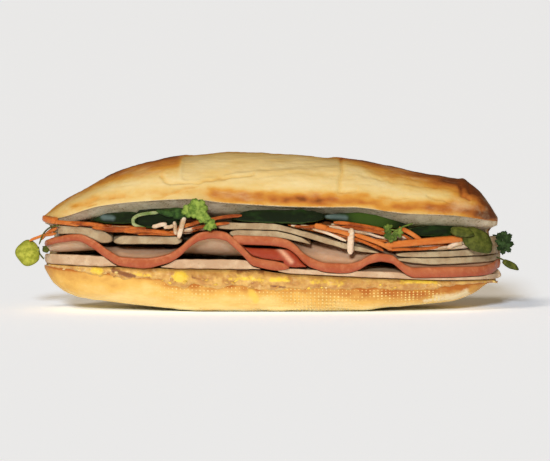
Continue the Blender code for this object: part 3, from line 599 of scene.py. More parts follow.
def makeTrayDots():
    # Rows of small bulges that the holes of the baking tray left along the lower crust
    look = trayLook
    start, stop = look["span"]
    x = np.arange(start, stop, look["pitch"])[:, None]
    fall = np.linspace(look["from"], look["to"], look["rows"])[None, :]
    y, z = lowerFront(x + 0 * fall, np.arcsin(fall ** (1 / roll["underRound"])) * 2 / math.pi)
    points = together(x, y, z)
    fade = smooth((x - start) / look["fades"][0]) * smooth((stop - x) / look["fades"][1])
    fade = fade * (0.5 + 0.5 * smooth((fall - 0.2) / 0.3)) * (1 + 0.35 * ripple(x / 9, z / 5, 3.0))
    make = Finish("trayDots", {"Roughness": 0.55, "Specular IOR Level": 0.2})
    colour = make.blend(make.step(make.noise(5), 0.35, 0.7), look["tone"], look["light"])
    base = meshPiece("trayDots", points, gridFaces(*points.shape[:2]), make.paint(Base_Color=colour),
                     {"dot": np.where(fade > look["least"], fade, 0)})

    def build(node, given):
        normal = node("GeometryNodeInputNormal")
        turn = node("FunctionNodeAlignRotationToVector", {"axis": "Z"}, {"Vector": normal})
        ball = node("GeometryNodeMeshIcoSphere", {}, {"Radius": given["Radius"], "Subdivisions": 2})
        squash = node("ShaderNodeCombineXYZ", {}, {"X": 1.0, "Y": 1.0, "Z": given["Flatness"]})
        flat = node("GeometryNodeTransform", {}, {"Geometry": ball, "Scale": squash})
        dot = node("GeometryNodeInputNamedAttribute", {"data_type": "FLOAT"}, {"Name": "dot"})
        vary = node("FunctionNodeRandomValue", {}, {
            "Min": given["Smallest"], "Max": given["Largest"], "Seed": given["Seed"]}, 1)
        grow = node("ShaderNodeMath", {"operation": "MULTIPLY"}, {0: dot, 1: vary})
        dots = node("GeometryNodeInstanceOnPoints", {}, {
            "Points": given["Geometry"], "Selection": dot, "Instance": flat, "Rotation": turn, "Scale": grow})
        return node("GeometryNodeRealizeInstances", {}, {"Geometry": dots})

    given = {"Seed": 3, "Radius": look["size"] * mm, "Flatness": look["flat"], "Smallest": look["vary"][0],
             "Largest": look["vary"][1]}
    settle(growOn(base, make.material, given, build), "bread_crust")
    print("bread: tray dots on the lower crust")


# Sheets: slices of ham, pork roll and cucumber, and the beds of the heaps, the heaps' inner mass painted dark
# as the shade between the shreds. What one doesn't say is as here
sheetUsual = {"step": 0.8, "crowd": 0.35, "rows": 26, "reach": 0.9, "ends": (1.4, 1.4), "corner": (2.0, 2.0),
              "ragged": 1.0, "rough": 0.08, "nose": 0.6, "noseSteps": 15, "square": 0.55, "standOut": 0.6,
              "rimBefore": 0.6, "thinEnd": 0.06, "rowStep": 0.04}


def cornerCut(away, radius):
    t = np.clip(1 - away / max(radius, 0.01), 0, 1)
    return radius * (1 - np.sqrt(1 - t * t))


def sheetLoops(look):
    look = {**sheetUsual, **look}
    span, seed, ragged, count = look["span"], look["seed"], look["ragged"], look["rows"]
    x = placesAlong(*span, look["step"], look["crowd"])[:, None]
    low, high = shares[look["layer"]]
    bottom, top = look["bottom"](x), look["top"](x)
    v = (look["reach"] * np.linspace(0, 1, count + 1) ** 1.7)[None, 1:]
    taper, cut = 1.0, 0.0
    for away, length, radius in zip((x - span[0], span[1] - x), look["ends"], look["corner"]):
        taper = taper * np.sqrt(1 - (1 - np.clip(away / length, 0.0, 1)) ** 2)
        cut = cut + cornerCut(away, radius)
    taper = np.maximum(taper, look["thinEnd"])
    wobble = ragged * (0.35 * ripple(x / 9, seed * 7.3, 0.5) + 0.16 * ripple(x / 2.4, seed + 0.4, 2.5))
    frontY = planY(x, 0.0) - look["standOut"] - look["out"] + cut + wobble
    middle, half = (bottom + top) / 2, (top - bottom) / 2 * taper
    half = half * (1 + 0.1 * ragged * ripple(x / 3.6, seed + 0.7, 6.5))
    angle = np.linspace(-math.pi / 2, math.pi / 2, look["noseSteps"])[None, :]
    noseY = frontY - look["nose"] * np.cos(angle) ** look["square"]
    noseZ = middle + half * np.sign(np.sin(angle)) * np.abs(np.sin(angle)) ** look["square"]
    noseY = noseY + ragged * 0.12 * ripple(x / 1.6, noseZ / 1.3, seed + 0.2)
    y = np.maximum(planY(x, v), frontY + look["rowStep"] * np.arange(1, count + 1))
    centre = wedgeHeight(x, v, middle, (low + high) / 2)
    rows = []
    for edge, share in ((bottom, low), (top, high)):
        z = centre + (wedgeHeight(x, v, edge, share) - centre) * taper
        z = z + look["rough"] * ripple(x / 2.5, y / 2.5, z / 2.5 + seed)
        rows.append(together(planX(x, v), y, z))
    nose = together(x, noseY, noseZ)
    loops = np.concatenate([rows[0][:, ::-1], nose, rows[1]], 1)
    back = np.zeros(y.shape)
    side = np.concatenate([back, np.broadcast_to((np.sin(angle) + 1) / 2, nose.shape[:2]), back + 1], 1)
    return loops, {"side": side, "into": loops[..., 1] - (frontY - look["rimBefore"])}


def makeSheet(name, node, slot, look, finish, marks=None):
    loops, stored = sheetLoops(look)
    for key, mark in (marks or {}).items():
        stored[key] = mark(loops[..., 0], loops[..., 2])
    settle(meshPiece(name, loops, loopFaces(*loops.shape[:2]), finish, stored), slot, node)


hamLook = {
    "halves": [(-110, 1.5), (-93, 1.75), (-84, 2.15), (-72, 2.3), (-58, 2.35), (-46, 2.15), (-27, 1.95),
               (-14, 2.3), (2, 2.2), (14, 2.3), (30, 2.35), (44, 2.1), (52, 1.95), (60, 2.1), (68, 2.4),
               (80, 2.5), (110, 2.4)],
    "rim": (0.35, 0.082, 0.026), "rimLight": (0.49, 0.175, 0.072), "rimLow": (0.30, 0.05, 0.018),
    # deep is painted shade: the colour the inner face darkens to further into the slit
    "near": (0.58, 0.27, 0.13), "deep": (0.20, 0.11, 0.055), "upper": (0.46, 0.21, 0.10),
    "meat": (0.78, 0.52, 0.32), "meatLight": (0.86, 0.66, 0.46), "casing": (0.28, 0.034, 0.012),
    "fat": (0.66, 0.33, 0.19),
    "left": [(-110, 31.8), (-104, 34.2), (-93, 35.9), (-86, 33.2), (-79, 28.4), (-72, 24.8), (-61, 24.1),
             (-50, 26.2), (-44, 29.5), (-39, 34), (-34, 37), (-27, 38), (-22, 37.1), (-17.8, 34), (-13, 29.4),
             (-8.6, 25.2), (2, 23), (10, 22.2)],
    "right": [(-15, 35.4), (0, 34.8), (7, 33.6), (11.8, 30.7), (15.4, 26.9), (19.4, 24.4), (27, 22.1),
              (36, 21.7), (42, 23), (47.5, 25.9), (52, 26.9), (57.8, 26.1), (62, 23), (65.3, 20.6),
              (69, 19.4), (100, 19.4), (106, 20.2), (110, 22.2)],
    "foldTop": [(-14, 32), (-8, 31.4), (6, 30.8), (12, 29), (15.4, 25.3), (19, 22.9)],
    "foldBottom": [(-14, 31.2), (-8.6, 26.8), (-1, 24.4), (5, 22.8), (19, 21.8)],
    "streak": [(1.0, 1.0, [(3.2, 32), (6.6, 28.6), (9.8, 25)])],
    # Both waves: name, node, line, span, layer, how far out, length of the ends, seed
    "waves": [("hamWaveLeft", "ham_left", "left", (-110, 9), "hamLow", 1.4, (1.4, 9), 2),
              ("hamWaveRight", "ham_right", "right", (-19, 111.4), "hamHigh", 0.9, (1.4, 1.4), 3)],
}


def hamFinish(name, casing):
    look = hamLook
    make = Finish(name, {"Specular IOR Level": 0.3, "Coat Weight": 0.08, "Coat Roughness": 0.2,
                         **soft(0.1, 0.4, 4, 1.2, 0.6)})
    depth = make.stored("into") + (make.noise(5, 4) - 0.5) * 2.2
    mottle = make.step(make.noise(2.2, 5, 0.65), 0.42, 0.72)
    if casing:
        colour = make.blend(mottle * 0.5, look["casing"], look["rim"])
        colour = make.blend(make.stored("mark"), colour, look["fat"])
    else:
        rim = make.blend(mottle * 0.7, look["rim"], look["rimLight"])
        rim = make.blend(make.step(make.noise(11, 3), 0.4, 0.62) * 0.35, rim, look["rimLight"])
        low = 1 - make.step(make.stored("side") + (make.noise(3) - 0.5) * 0.6, 0.05, 0.75)
        rim = make.blend(low * 0.75, rim, look["rimLow"])
        grain = make.step(make.noise(4, 5, 0.6, (1, 1, 3)), 0.4, 0.75)
        fibre = make.blend(grain, look["meat"], look["meatLight"])
        inner = make.blend(make.step(depth, 1.6, 6.0), look["near"], fibre)
        inner = make.blend(make.stored("side") * 0.6, inner, look["upper"])
        # Painted shade: the inner face grows darker further into the slit
        inner = make.blend(make.step(depth, 9.0, 22.0) * 0.8, inner, look["deep"])
        colour = make.blend(make.step(depth, 0.9, 2.4), rim, inner)
    return make.paint(Base_Color=colour, Roughness=0.28 + make.noise(2.5) * 0.25,
                      Normal=make.bump(make.noise(1.5, 5, 0.6), 0.35, 0.4))


def hamHalf(x):
    return along(hamLook["halves"], x) * (1 + 0.08 * ripple(np.asarray(x) / 11, 2.2, 1.1))


def hamEdge(key, side):
    # The upper (1) or lower (-1) edge of a wave
    return lambda x: along(hamLook[key], x) + side * hamHalf(x)


def foldFloor(x):
    waveEnd = 6  # left of it the fold lies on the left wave, right of it on the pork roll
    below = np.where(x < waveEnd, hamEdge("left", 1)(x), along(porkUnder["Right"]["top"], x))
    return np.maximum(along(hamLook["foldBottom"], x), below + gaps["fold"])


def foldRoof(x):
    above = np.minimum(along(hamLook["foldTop"], x), hamEdge("right", -1)(x) - gaps["fold"])
    return np.maximum(above, foldFloor(x) + gaps["least"])


def makeHam():
    finish = hamFinish("hamSlice", False)
    for name, node, key, span, layer, out, ends, seed in hamLook["waves"]:
        look = {"span": span, "layer": layer, "out": out, "nose": 1.0, "square": 0.8, "seed": seed,
                "rows": 34, "ragged": 0.7, "ends": ends, "bottom": hamEdge(key, -1), "top": hamEdge(key, 1)}
        makeSheet(name, node, "ham", look, finish)
    fold = {"span": (-15, 17), "layer": "hamFold", "out": 0.6, "nose": 2.0, "square": 0.9, "reach": 0.3,
            "seed": 5, "bottom": foldFloor, "top": foldRoof, "corner": (0.5, 0.5), "ends": (3, 5)}
    makeSheet("hamFold", "ham_fold", "ham", fold, hamFinish("hamCasing", True),
              {"mark": lambda x, z: spots(hamLook["streak"], x, z)})
    print("ham: two waves and the fold between them")


# Pork roll: face, paler cloud and dark edge of the slices under and over the ham; the slices over the ham have
# the same colours painted darker, as shade
porkLook = {
    "under": ((0.46, 0.29, 0.165), (0.58, 0.41, 0.25), (0.32, 0.17, 0.08)),
    "over": ((0.31, 0.205, 0.11), (0.42, 0.315, 0.18), (0.20, 0.115, 0.055)), "fleck": (0.16, 0.08, 0.03),
}
porkUnder = {
    "Left": {"node": "pork_roll_lower_left", "span": (-110, -74), "out": 0.3, "corner": (3, 0.5),
             "ends": (1.4, 9), "top": [(-110, 27.2), (-95, 27.5), (-76, 26.6)], "ham": "left", "seed": 7},
    "Middle": {"node": "pork_roll_lower_middle", "span": (-53, -5), "out": 0.2, "corner": (0.5, 0.5),
               "ends": (9, 9), "top": [(-50, 25.2), (-40, 26), (-20, 25.9), (-6, 25)], "ham": "left",
               "seed": 8},
    "Right": {"node": "pork_roll_lower_right", "span": (3, 111.8), "out": 0.5, "corner": (0.5, 2),
              "ends": (9, 2), "top": [(4, 21.9), (27, 20.6), (60, 19.8), (69, 17.7), (110, 17.4)],
              "ham": "right", "seed": 9},
}
# Slices over the ham: node, span, layer, how far out, corners, ends, then the lower and the upper front edge
porkOver = {
    "Left": ("upper_left", (-103.5, -76), "sliceHigh", 0.6, (1, 4), (1.2, 8),
             [(-104, 37), (-94, 37.8), (-87, 35.9), (-82, 33.8), (-75, 32)],
             [(-104, 41.4), (-97, 41.2), (-90, 41), (-75, 38.2)]),
    "Second": ("upper_second", (-76, -42.6), "sliceLow", 0.4, (5, 2), (3.5, 4),
               [(-77, 33.1), (-43, 33.3)], [(-77, 35), (-70, 37.2), (-43, 36.8)]),
    "Under": ("upper_under", (-20, 19), "sliceLow", 0.0, (2, 2), (5, 8),
              [(-18, 37), (0, 36.8), (14, 34.3), (20, 32)], [(-18, 40.1), (0, 39.7), (14, 36.8), (20, 34)]),
    "Long": ("upper_long", (-26, 52), "sliceHigh", 0.5, (3, 1), (3, 10),
             [(-25, 40.6), (0, 40.2), (15, 37), (27, 33.4), (36, 31), (52, 28.4)],
             [(-25, 43.8), (0, 43.2), (15, 39.8), (27, 36.2), (36, 33.6), (52, 29.8)]),
    "Right": ("upper_right", (60, 111.4), "sliceLow", 0.2, (1, 3), (9, 2),
              [(58, 25.2), (64, 24.6), (78, 23.2), (110, 23.8)],
              [(58, 26.6), (64, 26.6), (78, 26.2), (110, 26.8)]),
    "End": ("upper_end", (60, 111.8), "sliceHigh", 0.6, (1, 3), (8, 2),
            [(58, 27.3), (64, 27), (78, 26.7), (110, 27.3)], [(58, 29), (64, 29.2), (86, 29.6), (110, 31.2)]),
}


def porkFinish(name, side):
    face, pale, edge = porkLook[side]
    make = Finish(name, {"Specular IOR Level": 0.22, **soft(0.1, 0.4, 4, 2, 1)})
    tone = make.blend(make.step(make.noise(7, 5, 0.6), 0.38, 0.66), face, pale)
    flecks = make.step(make.noise(1.3, 4, 0.7, (0.6, 1, 1)), 0.58, 0.7)
    tone = make.blend(flecks * 0.45, tone, edge)
    dots = make.step(make.noise(0.8, 2, 0.5), 0.66, 0.74)
    tone = make.blend(dots * 0.5, tone, porkLook["fleck"])
    under = 1 - make.step(make.stored("side") + (make.noise(3) - 0.5) * 0.4, 0.02, 0.3)
    tone = make.blend(under * 0.6, tone, edge)
    return make.paint(Base_Color=tone, Roughness=0.36 + make.noise(3) * 0.25,
                      Normal=make.bump(make.noise(1.1, 5, 0.65), 0.5, 0.4))


def porkFloor(x):
    return along(spreadLook["top"], x) + gaps["spread"]


def porkRoof(row):
    # A lower slice's own upper edge, kept clear of the ham over it
    def roof(x):
        ham = hamEdge(row["ham"], -1)(x) - gaps["ham"]
        return np.maximum(porkFloor(x) + gaps["least"], np.minimum(along(row["top"], x), ham))

    return roof


def makePork():
    finish = porkFinish("porkRollUnder", "under")
    for key, row in porkUnder.items():
        look = {**row, "layer": "pork", "rows": 24, "rough": 0.16, "bottom": porkFloor, "top": porkRoof(row)}
        makeSheet("porkUnder" + key, row["node"], "pork_roll", look, finish)
    # The slices over the ham: the same pork in darker colours, painted shade
    finish = porkFinish("porkRollOver", "over")
    for seed, (key, (node, span, layer, out, corner, ends, bottom, top)) in enumerate(porkOver.items(), 12):
        look = {"span": span, "layer": layer, "out": out, "corner": corner, "ends": ends, "seed": seed,
                "rough": 0.16, "square": 0.45, "ragged": 1.3, "bottom": lineOf(bottom), "top": lineOf(top)}
        makeSheet("porkOver" + key, "pork_roll_" + node, "pork_roll", look, finish)
    print("pork roll: slices under and over the ham")


# Cucumber
cucumberLook = {
    # paintedHighlights: where pale reflections are painted onto the wet skin; shine is the colour of these
    # painted highlights
    "paintedHighlights": [(0.9, 1.5, [(-81, 46), (-76, 45.6)]), (0.8, 1.4, [(27, 46.8), (32, 46.5), (36, 46)])],
    "curl": [(-54, 48.6), (-60, 48.0), (-64, 47.0), (-66.2, 45.0), (-66, 43.2), (-63.4, 41.6), (-60.6, 41.0)],
    "curlWide": 2.1, "curlOut": 1.2, "rind": ((0.34, 0.36, 0.17), (0.10, 0.15, 0.03)),
    "shine": (0.09, 0.125, 0.11), "skin": (0.006, 0.010, 0.003), "skinLight": (0.012, 0.028, 0.005),
    "patch": (0.03, 0.055, 0.007), "flesh": (0.14, 0.19, 0.05), "lowEdge": (0.06, 0.10, 0.02),
    # Name, span, length of the ends, then the lower and the upper front edge
    "slices": [
        ("Left", (-87, -63), (11, 5), [(-87, 43.6), (-78, 43), (-63, 43.2)],
         [(-87, 45.4), (-78, 48), (-63, 49)]),
        ("Curl", (-66, -43), (3, 6), [(-66, 41), (-44, 41)], [(-66, 48), (-61, 50.4), (-44, 50.6)]),
        ("Centre", (-19, 26), (9, 7), [(-20, 44.6), (0, 43.5), (10, 43.2), (27, 44.6)],
         [(-20, 47.4), (-8, 49.8), (10, 50), (27, 48.6)]),
        ("Middle", (25, 66), (8, 16), [(25, 45.2), (40, 43.4), (66, 39.4)],
         [(25, 47.8), (44, 48.6), (66, 44.2)]),
        ("Right", (66, 95), (8, 10), [(66, 37.2), (95, 36.4)], [(66, 41.4), (80, 42), (95, 40.2)]),
    ],
}


def cucumberFinish():
    look = cucumberLook
    make = Finish("cucumberSkin", {"Specular IOR Level": 0.12})
    streak = make.step(make.noise(3, 4, 0.6, (0.3, 1, 1)), 0.42, 0.72)
    skin = make.blend(streak, look["skin"], look["skinLight"])
    skin = make.blend(make.stored("mark"), skin, look["patch"])
    depth = make.step(make.stored("into") + (make.noise(2) - 0.5) * 1.2, 1.4, 3.4)
    lower = 1 - make.step(make.stored("side") + (make.noise(4) - 0.5) * 0.3, 0.0, 0.22)
    colour = make.blend(depth, skin, look["flesh"])
    colour = make.blend(lower * 0.6, colour, look["lowEdge"])
    # Painted highlight: a pale reflection painted onto the skin where the shine mark lies
    wet = make.step(make.stored("shine") + (make.noise(3) - 0.5) * 0.5, 0.1, 1.0)
    colour = make.blend(wet, colour, look["shine"])
    return make.paint(Base_Color=colour, Roughness=0.26 + make.noise(2) * 0.25,
                      Normal=make.bump(make.noise(1.8, 4, 0.6), 0.2, 0.3))


def cucumberRoof(knots):
    return lambda x: np.minimum(along(knots, x), upperPlane(x, 0.0) - gaps["cut"])


def makeCucumber():
    look = cucumberLook
    finish = cucumberFinish()
    # mark picks out the paler green strip; shine places the painted highlights
    marks = {"mark": lambda x, z: smooth((x - 34) / 8) * smooth((64 - x) / 12),
             "shine": lambda x, z: spots(look["paintedHighlights"], x, z)}
    for seed, (name, span, ends, bottom, top) in enumerate(look["slices"], 30):
        row = {"span": span, "layer": "cucumber", "out": 0.0, "reach": 0.5, "corner": (3, 3), "nose": 0.8,
               "square": 0.5, "seed": seed, "rows": 16, "ends": ends, "ragged": 1.4,
               "bottom": lineOf(bottom), "top": cucumberRoof(top)}
        makeSheet("cucumber" + name, "cucumber_" + name.lower(), "cucumber", row, finish, marks)
    x, z = smoothPath(look["curl"], 40).T
    path = (together(x, facing(x, look["curlOut"]), z), look["curlWide"], 0.0)
    rind = sweepPaths("cucumberRind", [path], shredFinish("cucumberRind", *look["rind"], 0.1), True)
    settle(rind, "cucumber", "cucumber_curl")
    print("cucumber: five slices")


# Spread
spreadLook = {
    "span": (-108, 108), "step": 0.7, "crowd": 0.2, "rows": 20, "reach": 0.15, "thick": 1.2, "sunk": 0.9,
    "yolkLump": 1.5,
    "top": [(-110, 22.3), (-75, 21.8), (-48, 21.3), (-8, 20.9), (4, 19.2), (27, 18), (60, 16.3), (85, 15.2),
            (110, 14.8)],
    # How far it has run over the lip, as a share of the reach
    "run": [(-110, 0.04), (-96, 0.1), (-88, 0.4), (-83, 0.42), (-79, 0.15), (-74, 0.48), (-66, 0.36),
            (-60, 0.2), (-52, 0.3), (-47, 0.85), (-41, 0.85), (-37, 0.35), (-31, 0.65), (-24, 0.75),
            (-19, 0.35), (-12, 0.5), (-4, 0.75), (4, 0.8), (9, 0.45), (16, 0.6), (26, 0.45), (34, 0.55),
            (44, 0.35),
            (54, 0.45), (62, 0.7), (70, 0.75), (78, 0.7), (84, 0.3), (92, 0.2), (100, 0.1), (110, 0.04)],
    "yolk": (0.76, 0.50, 0.05), "egg": (0.64, 0.38, 0.10), "tan": (0.42, 0.19, 0.042),
    "pate": (0.18, 0.055, 0.016), "white": (0.70, 0.51, 0.24), "smear": (0.60, 0.37, 0.10),
    "dark": (0.42, 0.18, 0.05),
    "yolks": [(0.9, 2.2, [(-85, 20), (-82.5, 19.6)]), (1.0, 3.2, [(-44.5, 17.6), (-42.5, 17.4)]),
              (0.6, 2.0, [(-20, 17.6), (-4, 16.2)]), (0.9, 1.6, [(0, 16.8), (8, 16.4)]),
              (0.7, 2.0, [(63, 15.6), (79, 15.2)]), (0.5, 2.4, [(20, 15), (34, 14.4)]),
              (0.5, 1.6, [(-66, 19), (-58, 18)])],
    "pates": [(0.95, 1.5, [(-76, 20.6), (-71, 18.8), (-66, 17.6)]), (0.8, 1.4, [(-16, 20.8), (-4, 20.2)]),
              (0.8, 0.9, [(0, 13.2), (6.6, 12.6)]), (0.5, 1.1, [(-58, 19.6), (-48, 19.8)]),
              (0.4, 1.2, [(36, 16), (52, 15.4)]), (0.6, 0.9, [(-38, 17.4), (-34, 16.4)])],
}
eggBits = {"density": 90000.0, "radius": 0.62, "dents": 900.0, "dentDepth": 1.1, "small": (0.6, 0.5, 0.4),
           "large": (2.1, 1.3, 1.2), "turn": 0.5, "rows": (2, 17)}


def lowerFront(x, a):
    # The crust below the lower lip, from the lip (0) to the base (1)
    lip = (frontLip(x), along(roll["lowerLip"], x))
    return quarter(a, lip, (-roll["flatShare"] * halfDepth(x), along(roll["base"], x)), roll["underRound"])


def spreadFinish():
    look = spreadLook
    make = Finish("eggAndPate", {"Specular IOR Level": 0.5, "Coat Weight": 0.2, "Coat Roughness": 0.2,
                                 **soft(0.15, 0.5, 5, 3, 1)})
    base = make.blend(make.step(make.noise(5, 5, 0.65), 0.34, 0.68), look["tan"], look["egg"])
    pale = make.step(make.noise(3.4, 5, 0.65), 0.56, 0.74)
    base = make.blend(pale * 0.6, base, look["white"])
    fray = (make.noise(2.4, 5, 0.65) - 0.5) * 1.1
    base = make.blend(make.step(make.stored("yolk") + fray, 0.3, 0.7), base, look["yolk"])
    colour = make.blend(make.step(make.stored("pate") + fray, 0.35, 0.8) * 0.9, base, look["pate"])
    colour = make.blend(make.step(make.stored("edge") + fray * 0.5, 0.6, 1.0), colour, look["smear"])
    return make.paint(Base_Color=colour, Roughness=0.25 + make.noise(3) * 0.25,
                      Normal=make.bump(make.noise(1.7, 5, 0.65), 0.5, 0.5))


def makeSpread():
    look = spreadLook
    x = placesAlong(*look["span"], look["step"], look["crowd"])[:, None]
    run = along(look["run"], x) + 0.2 * ripple(x / 4, 3.0, 8.0) + 0.12 * ripple(x / 1.6, 5.0, 1.0)
    run = np.clip(run, 0.03, 1.05)
    drop = np.linspace(0, 1, look["rows"])[None, :]
    a = run * drop * look["reach"]
    y, z = lowerFront(x, a)
    nextY, nextZ = lowerFront(x, a + 0.01)
    away = np.stack([nextZ - z, y - nextY], -1)
    away /= np.linalg.norm(away, axis=-1)[..., None]
    away = np.moveaxis(np.where(away[..., :1] > 0, -away, away), -1, 0)
    body = look["thick"] * (0.4 + 0.6 * run) * (1 - drop ** 4)
    body = body + look["yolkLump"] * spots(look["yolks"], x, z) ** 1.5
    body = body * (1 + 0.5 * ripple(x / 3.2, z / 2.2, 4.0) + 0.25 * ripple(x / 1.3, z / 1.2, 9.0))
    body = (body + 0.26) * (1 - drop ** 4) - 0.5 * drop ** 9
    outer = together(x, y + away[0] * body, z + away[1] * body + 0.6 * (1 - drop))
    inner = together(x, y - away[0] * look["sunk"], z - away[1] * look["sunk"])[:, ::-1]
    v = np.linspace(0.02, 0.9, 16)[None, :]
    top = together(planX(x, v), planY(x, v), wedgeHeight(x, v, along(look["top"], x), shares["spread"][1]))
    low = together(planX(x, v), planY(x, v), lowerCut(x, v) + gaps["cut"])
    loops = np.concatenate([top[:, ::-1], outer, inner, low], 1)
    hidden = np.zeros(top.shape[:2])
    stored = {"yolk": spots(look["yolks"], loops[..., 0], loops[..., 2]),
              "pate": spots(look["pates"], loops[..., 0], loops[..., 2]),
              "edge": np.concatenate([hidden, np.broadcast_to(drop, y.shape), np.ones(y.shape), hidden], 1)}
    piece = meshPiece("spread", loops, loopFaces(*loops.shape[:2]), spreadFinish(), stored)
    settle(piece, "spread", "egg_and_pate_spread")
    makeEggBits(outer[:, slice(*eggBits["rows"])])
    print("spread: egg mayonnaise, butter and pate with crumbled egg")


def makeEggBits(outer):
    # Crumbled egg, strewn over the part of the spread that shows
    look = spreadLook
    make = Finish("eggBits", {"Specular IOR Level": 0.5, "Coat Weight": 0.2, **soft(0.2, 0.4, 4, 3, 1)})
    tone = make.ramp(make.stored("tone"), [(0.0, look["tan"]), (0.3, look["egg"]), (0.55, look["white"]),
                                           (0.8, look["yolk"]), (1.0, look["dark"])])
    make.paint(Base_Color=tone, Roughness=0.3 + make.noise(2) * 0.2,
               Normal=make.bump(make.noise(1.2, 4), 0.4, 0.3))
    base = meshPiece("eggBits", outer, gridFaces(*outer.shape[:2]), make.material)

    def build(node, given):
        vectors = {"data_type": "FLOAT_VECTOR"}
        points = node("GeometryNodeDistributePointsOnFaces", {}, {
            "Mesh": given["Geometry"], "Density": given["Density"], "Seed": given["Seed"]})
        ball = node("GeometryNodeMeshIcoSphere", {}, {"Radius": given["Radius"], "Subdivisions": 2})
        where = node("GeometryNodeInputPosition")
        dents = node("ShaderNodeTexNoise", {}, {"Vector": where, "Scale": given["Dents"]}, 1)
        shift = node("ShaderNodeVectorMath", {"operation": "SUBTRACT"}, {0: dents, 1: (0.5, 0.5, 0.5)})
        amount = node("ShaderNodeVectorMath", {"operation": "SCALE"}, {0: shift, "Scale": given["Dent Depth"]})
        lump = node("GeometryNodeSetPosition", {}, {"Geometry": ball, "Offset": amount})
        grow = node("FunctionNodeRandomValue", vectors, {
            "Min": eggBits["small"], "Max": eggBits["large"], "Seed": given["Seed"]})
        turn = node("FunctionNodeRandomValue", vectors, {
            "Min": (-eggBits["turn"],) * 3, "Max": (eggBits["turn"],) * 3, "Seed": given["Seed"]})
        bits = node("GeometryNodeInstanceOnPoints", {}, {
            "Points": points, "Instance": lump, "Rotation": turn, "Scale": grow})
        tint = node("FunctionNodeRandomValue", {}, {"Seed": given["Seed"]}, 1)
        toned = node("GeometryNodeStoreNamedAttribute", {"domain": "INSTANCE"}, {
            "Geometry": bits, "Name": "tone", "Value": tint})
        return node("GeometryNodeRealizeInstances", {}, {"Geometry": toned})

    given = {"Seed": 8, "Density": eggBits["density"], "Radius": eggBits["radius"] * mm,
             "Dents": eggBits["dents"], "Dent Depth": eggBits["dentDepth"] * mm}
    settle(growOn(base, make.material, given, build), "spread", "egg_and_pate_spread")


# Shreds and stems, swept along paths
sweepLook = {"width": 1.0, "height": 0.78, "round": 0.22, "tips": (0.45, 0.9), "clear": 0.7}


def facing(x, out):
    # How far forward a thing lies that stands out before the lips
    return -(halfDepth(x) + sweepLook["clear"] + out)


def sweepPaths(name, paths, finish, squared):
    # Each path is (points, width, twist); the profile is a soft square or a circle
    points, edges, wide, turned = [], [], [], []
    tip, second = sweepLook["tips"]
    for line, width, twist in paths:
        count = len(line)
        start = sum(len(p) for p in points)
        edges += [(start + k, start + k + 1) for k in range(count - 1)]
        points.append(np.asarray(line))
        ends = np.minimum(np.arange(count), np.arange(count)[::-1])
        wide.append(width * np.where(ends == 0, tip, np.where(ends == 1, second, 1.0)))
        turned.append(twist * np.linspace(-0.5, 0.5, count))
    mesh = bpy.data.meshes.new(name)
    mesh.from_pydata((np.concatenate(points) * mm).tolist(), edges, [])
    for key, values in (("wide", wide), ("turned", turned)):
        layer = mesh.attributes.new(key, "FLOAT", "POINT")
        layer.data.foreach_set("value", np.concatenate(values).astype(np.float32))
    mesh.materials.append(finish)
    base = bpy.data.objects.new(name, mesh)
    bpy.context.scene.collection.objects.link(base)

    def build(node, given):
        number = {"data_type": "FLOAT"}
        curve = node("GeometryNodeMeshToCurve", {}, {"Mesh": given["Geometry"]})
        widths = node("GeometryNodeInputNamedAttribute", number, {"Name": "wide"})
        turns = node("GeometryNodeInputNamedAttribute", number, {"Name": "turned"})
        tilted = node("GeometryNodeSetCurveTilt", {}, {"Curve": curve, "Tilt": turns})
        if squared:
            square = node("GeometryNodeCurvePrimitiveQuadrilateral", {}, {
                "Width": given["Width"], "Height": given["Height"]})
            profile = node("GeometryNodeFilletCurve", {"mode": "POLY"}, {
                "Curve": square, "Count": 3, "Radius": given["Rounding"]})
        else:
            profile = node("GeometryNodeCurvePrimitiveCircle", {}, {
                "Resolution": 10, "Radius": given["Radius"]})
        return node("GeometryNodeCurveToMesh", {}, {
            "Curve": tilted, "Profile Curve": profile, "Scale": widths, "Fill Caps": True})

    size = sweepLook
    if squared:
        given = {"Width": size["width"] * mm, "Height": size["height"] * mm, "Rounding": size["round"] * mm}
    else:
        given = {"Radius": size["width"] / 2 * mm}
    return growOn(base, finish, given, build)


heapLook = {
    "carrot": (0.46, 0.115, 0.018), "carrotDeep": (0.20, 0.036, 0.006), "carrotLight": (0.535, 0.165, 0.034),
    # bed and shadeBedDeep: the heap's inner mass behind the shreds, painted dark as the shade between them
    "daikon": (0.66, 0.50, 0.35), "daikonDeep": (0.42, 0.26, 0.13), "bed": (0.12, 0.035, 0.01),
    "shadeBedDeep": (0.04, 0.015, 0.005), "wet": 0.05, "twist": 0.3,
    # Shreds that fill the heap: length, how far in, width, twist, and the shares up to which each kind goes
    "length": (9, 30), "back": (-1.6, 9), "wide": (1.1, 2.0), "twists": (-1.5, 1.5), "steps": 12,
    "kinds": ("daikon", "light", "carrot"), "kindShares": (0.3, 0.5),
    "left": {"span": (-104, -30), "node": "pickle_heap_left", "fill": 95,
             "bottom": [(-104, 41.2), (-90, 41.4), (-76, 39.2), (-66, 37.7), (-43, 37.3), (-30, 39.4)],
             "top": [(-104, 43.6), (-86, 43), (-67, 42.6), (-63.4, 40.8), (-47, 40.8), (-42, 44.6),
                     (-30, 44)]},
    "right": {"span": (8, 106), "node": "pickle_heap_right", "fill": 150,
              "bottom": [(6, 42.6), (15, 40.3), (27, 36.7), (36, 34.1), (52, 30.3), (58, 29.8), (86, 29.9),
                         (108, 31.5)],
              "top": [(6, 43.4), (15, 42.8), (27, 44), (36, 43.6), (50, 42), (62, 40), (70, 35.8), (90, 35.8),
                      (108, 35.6)]},
}

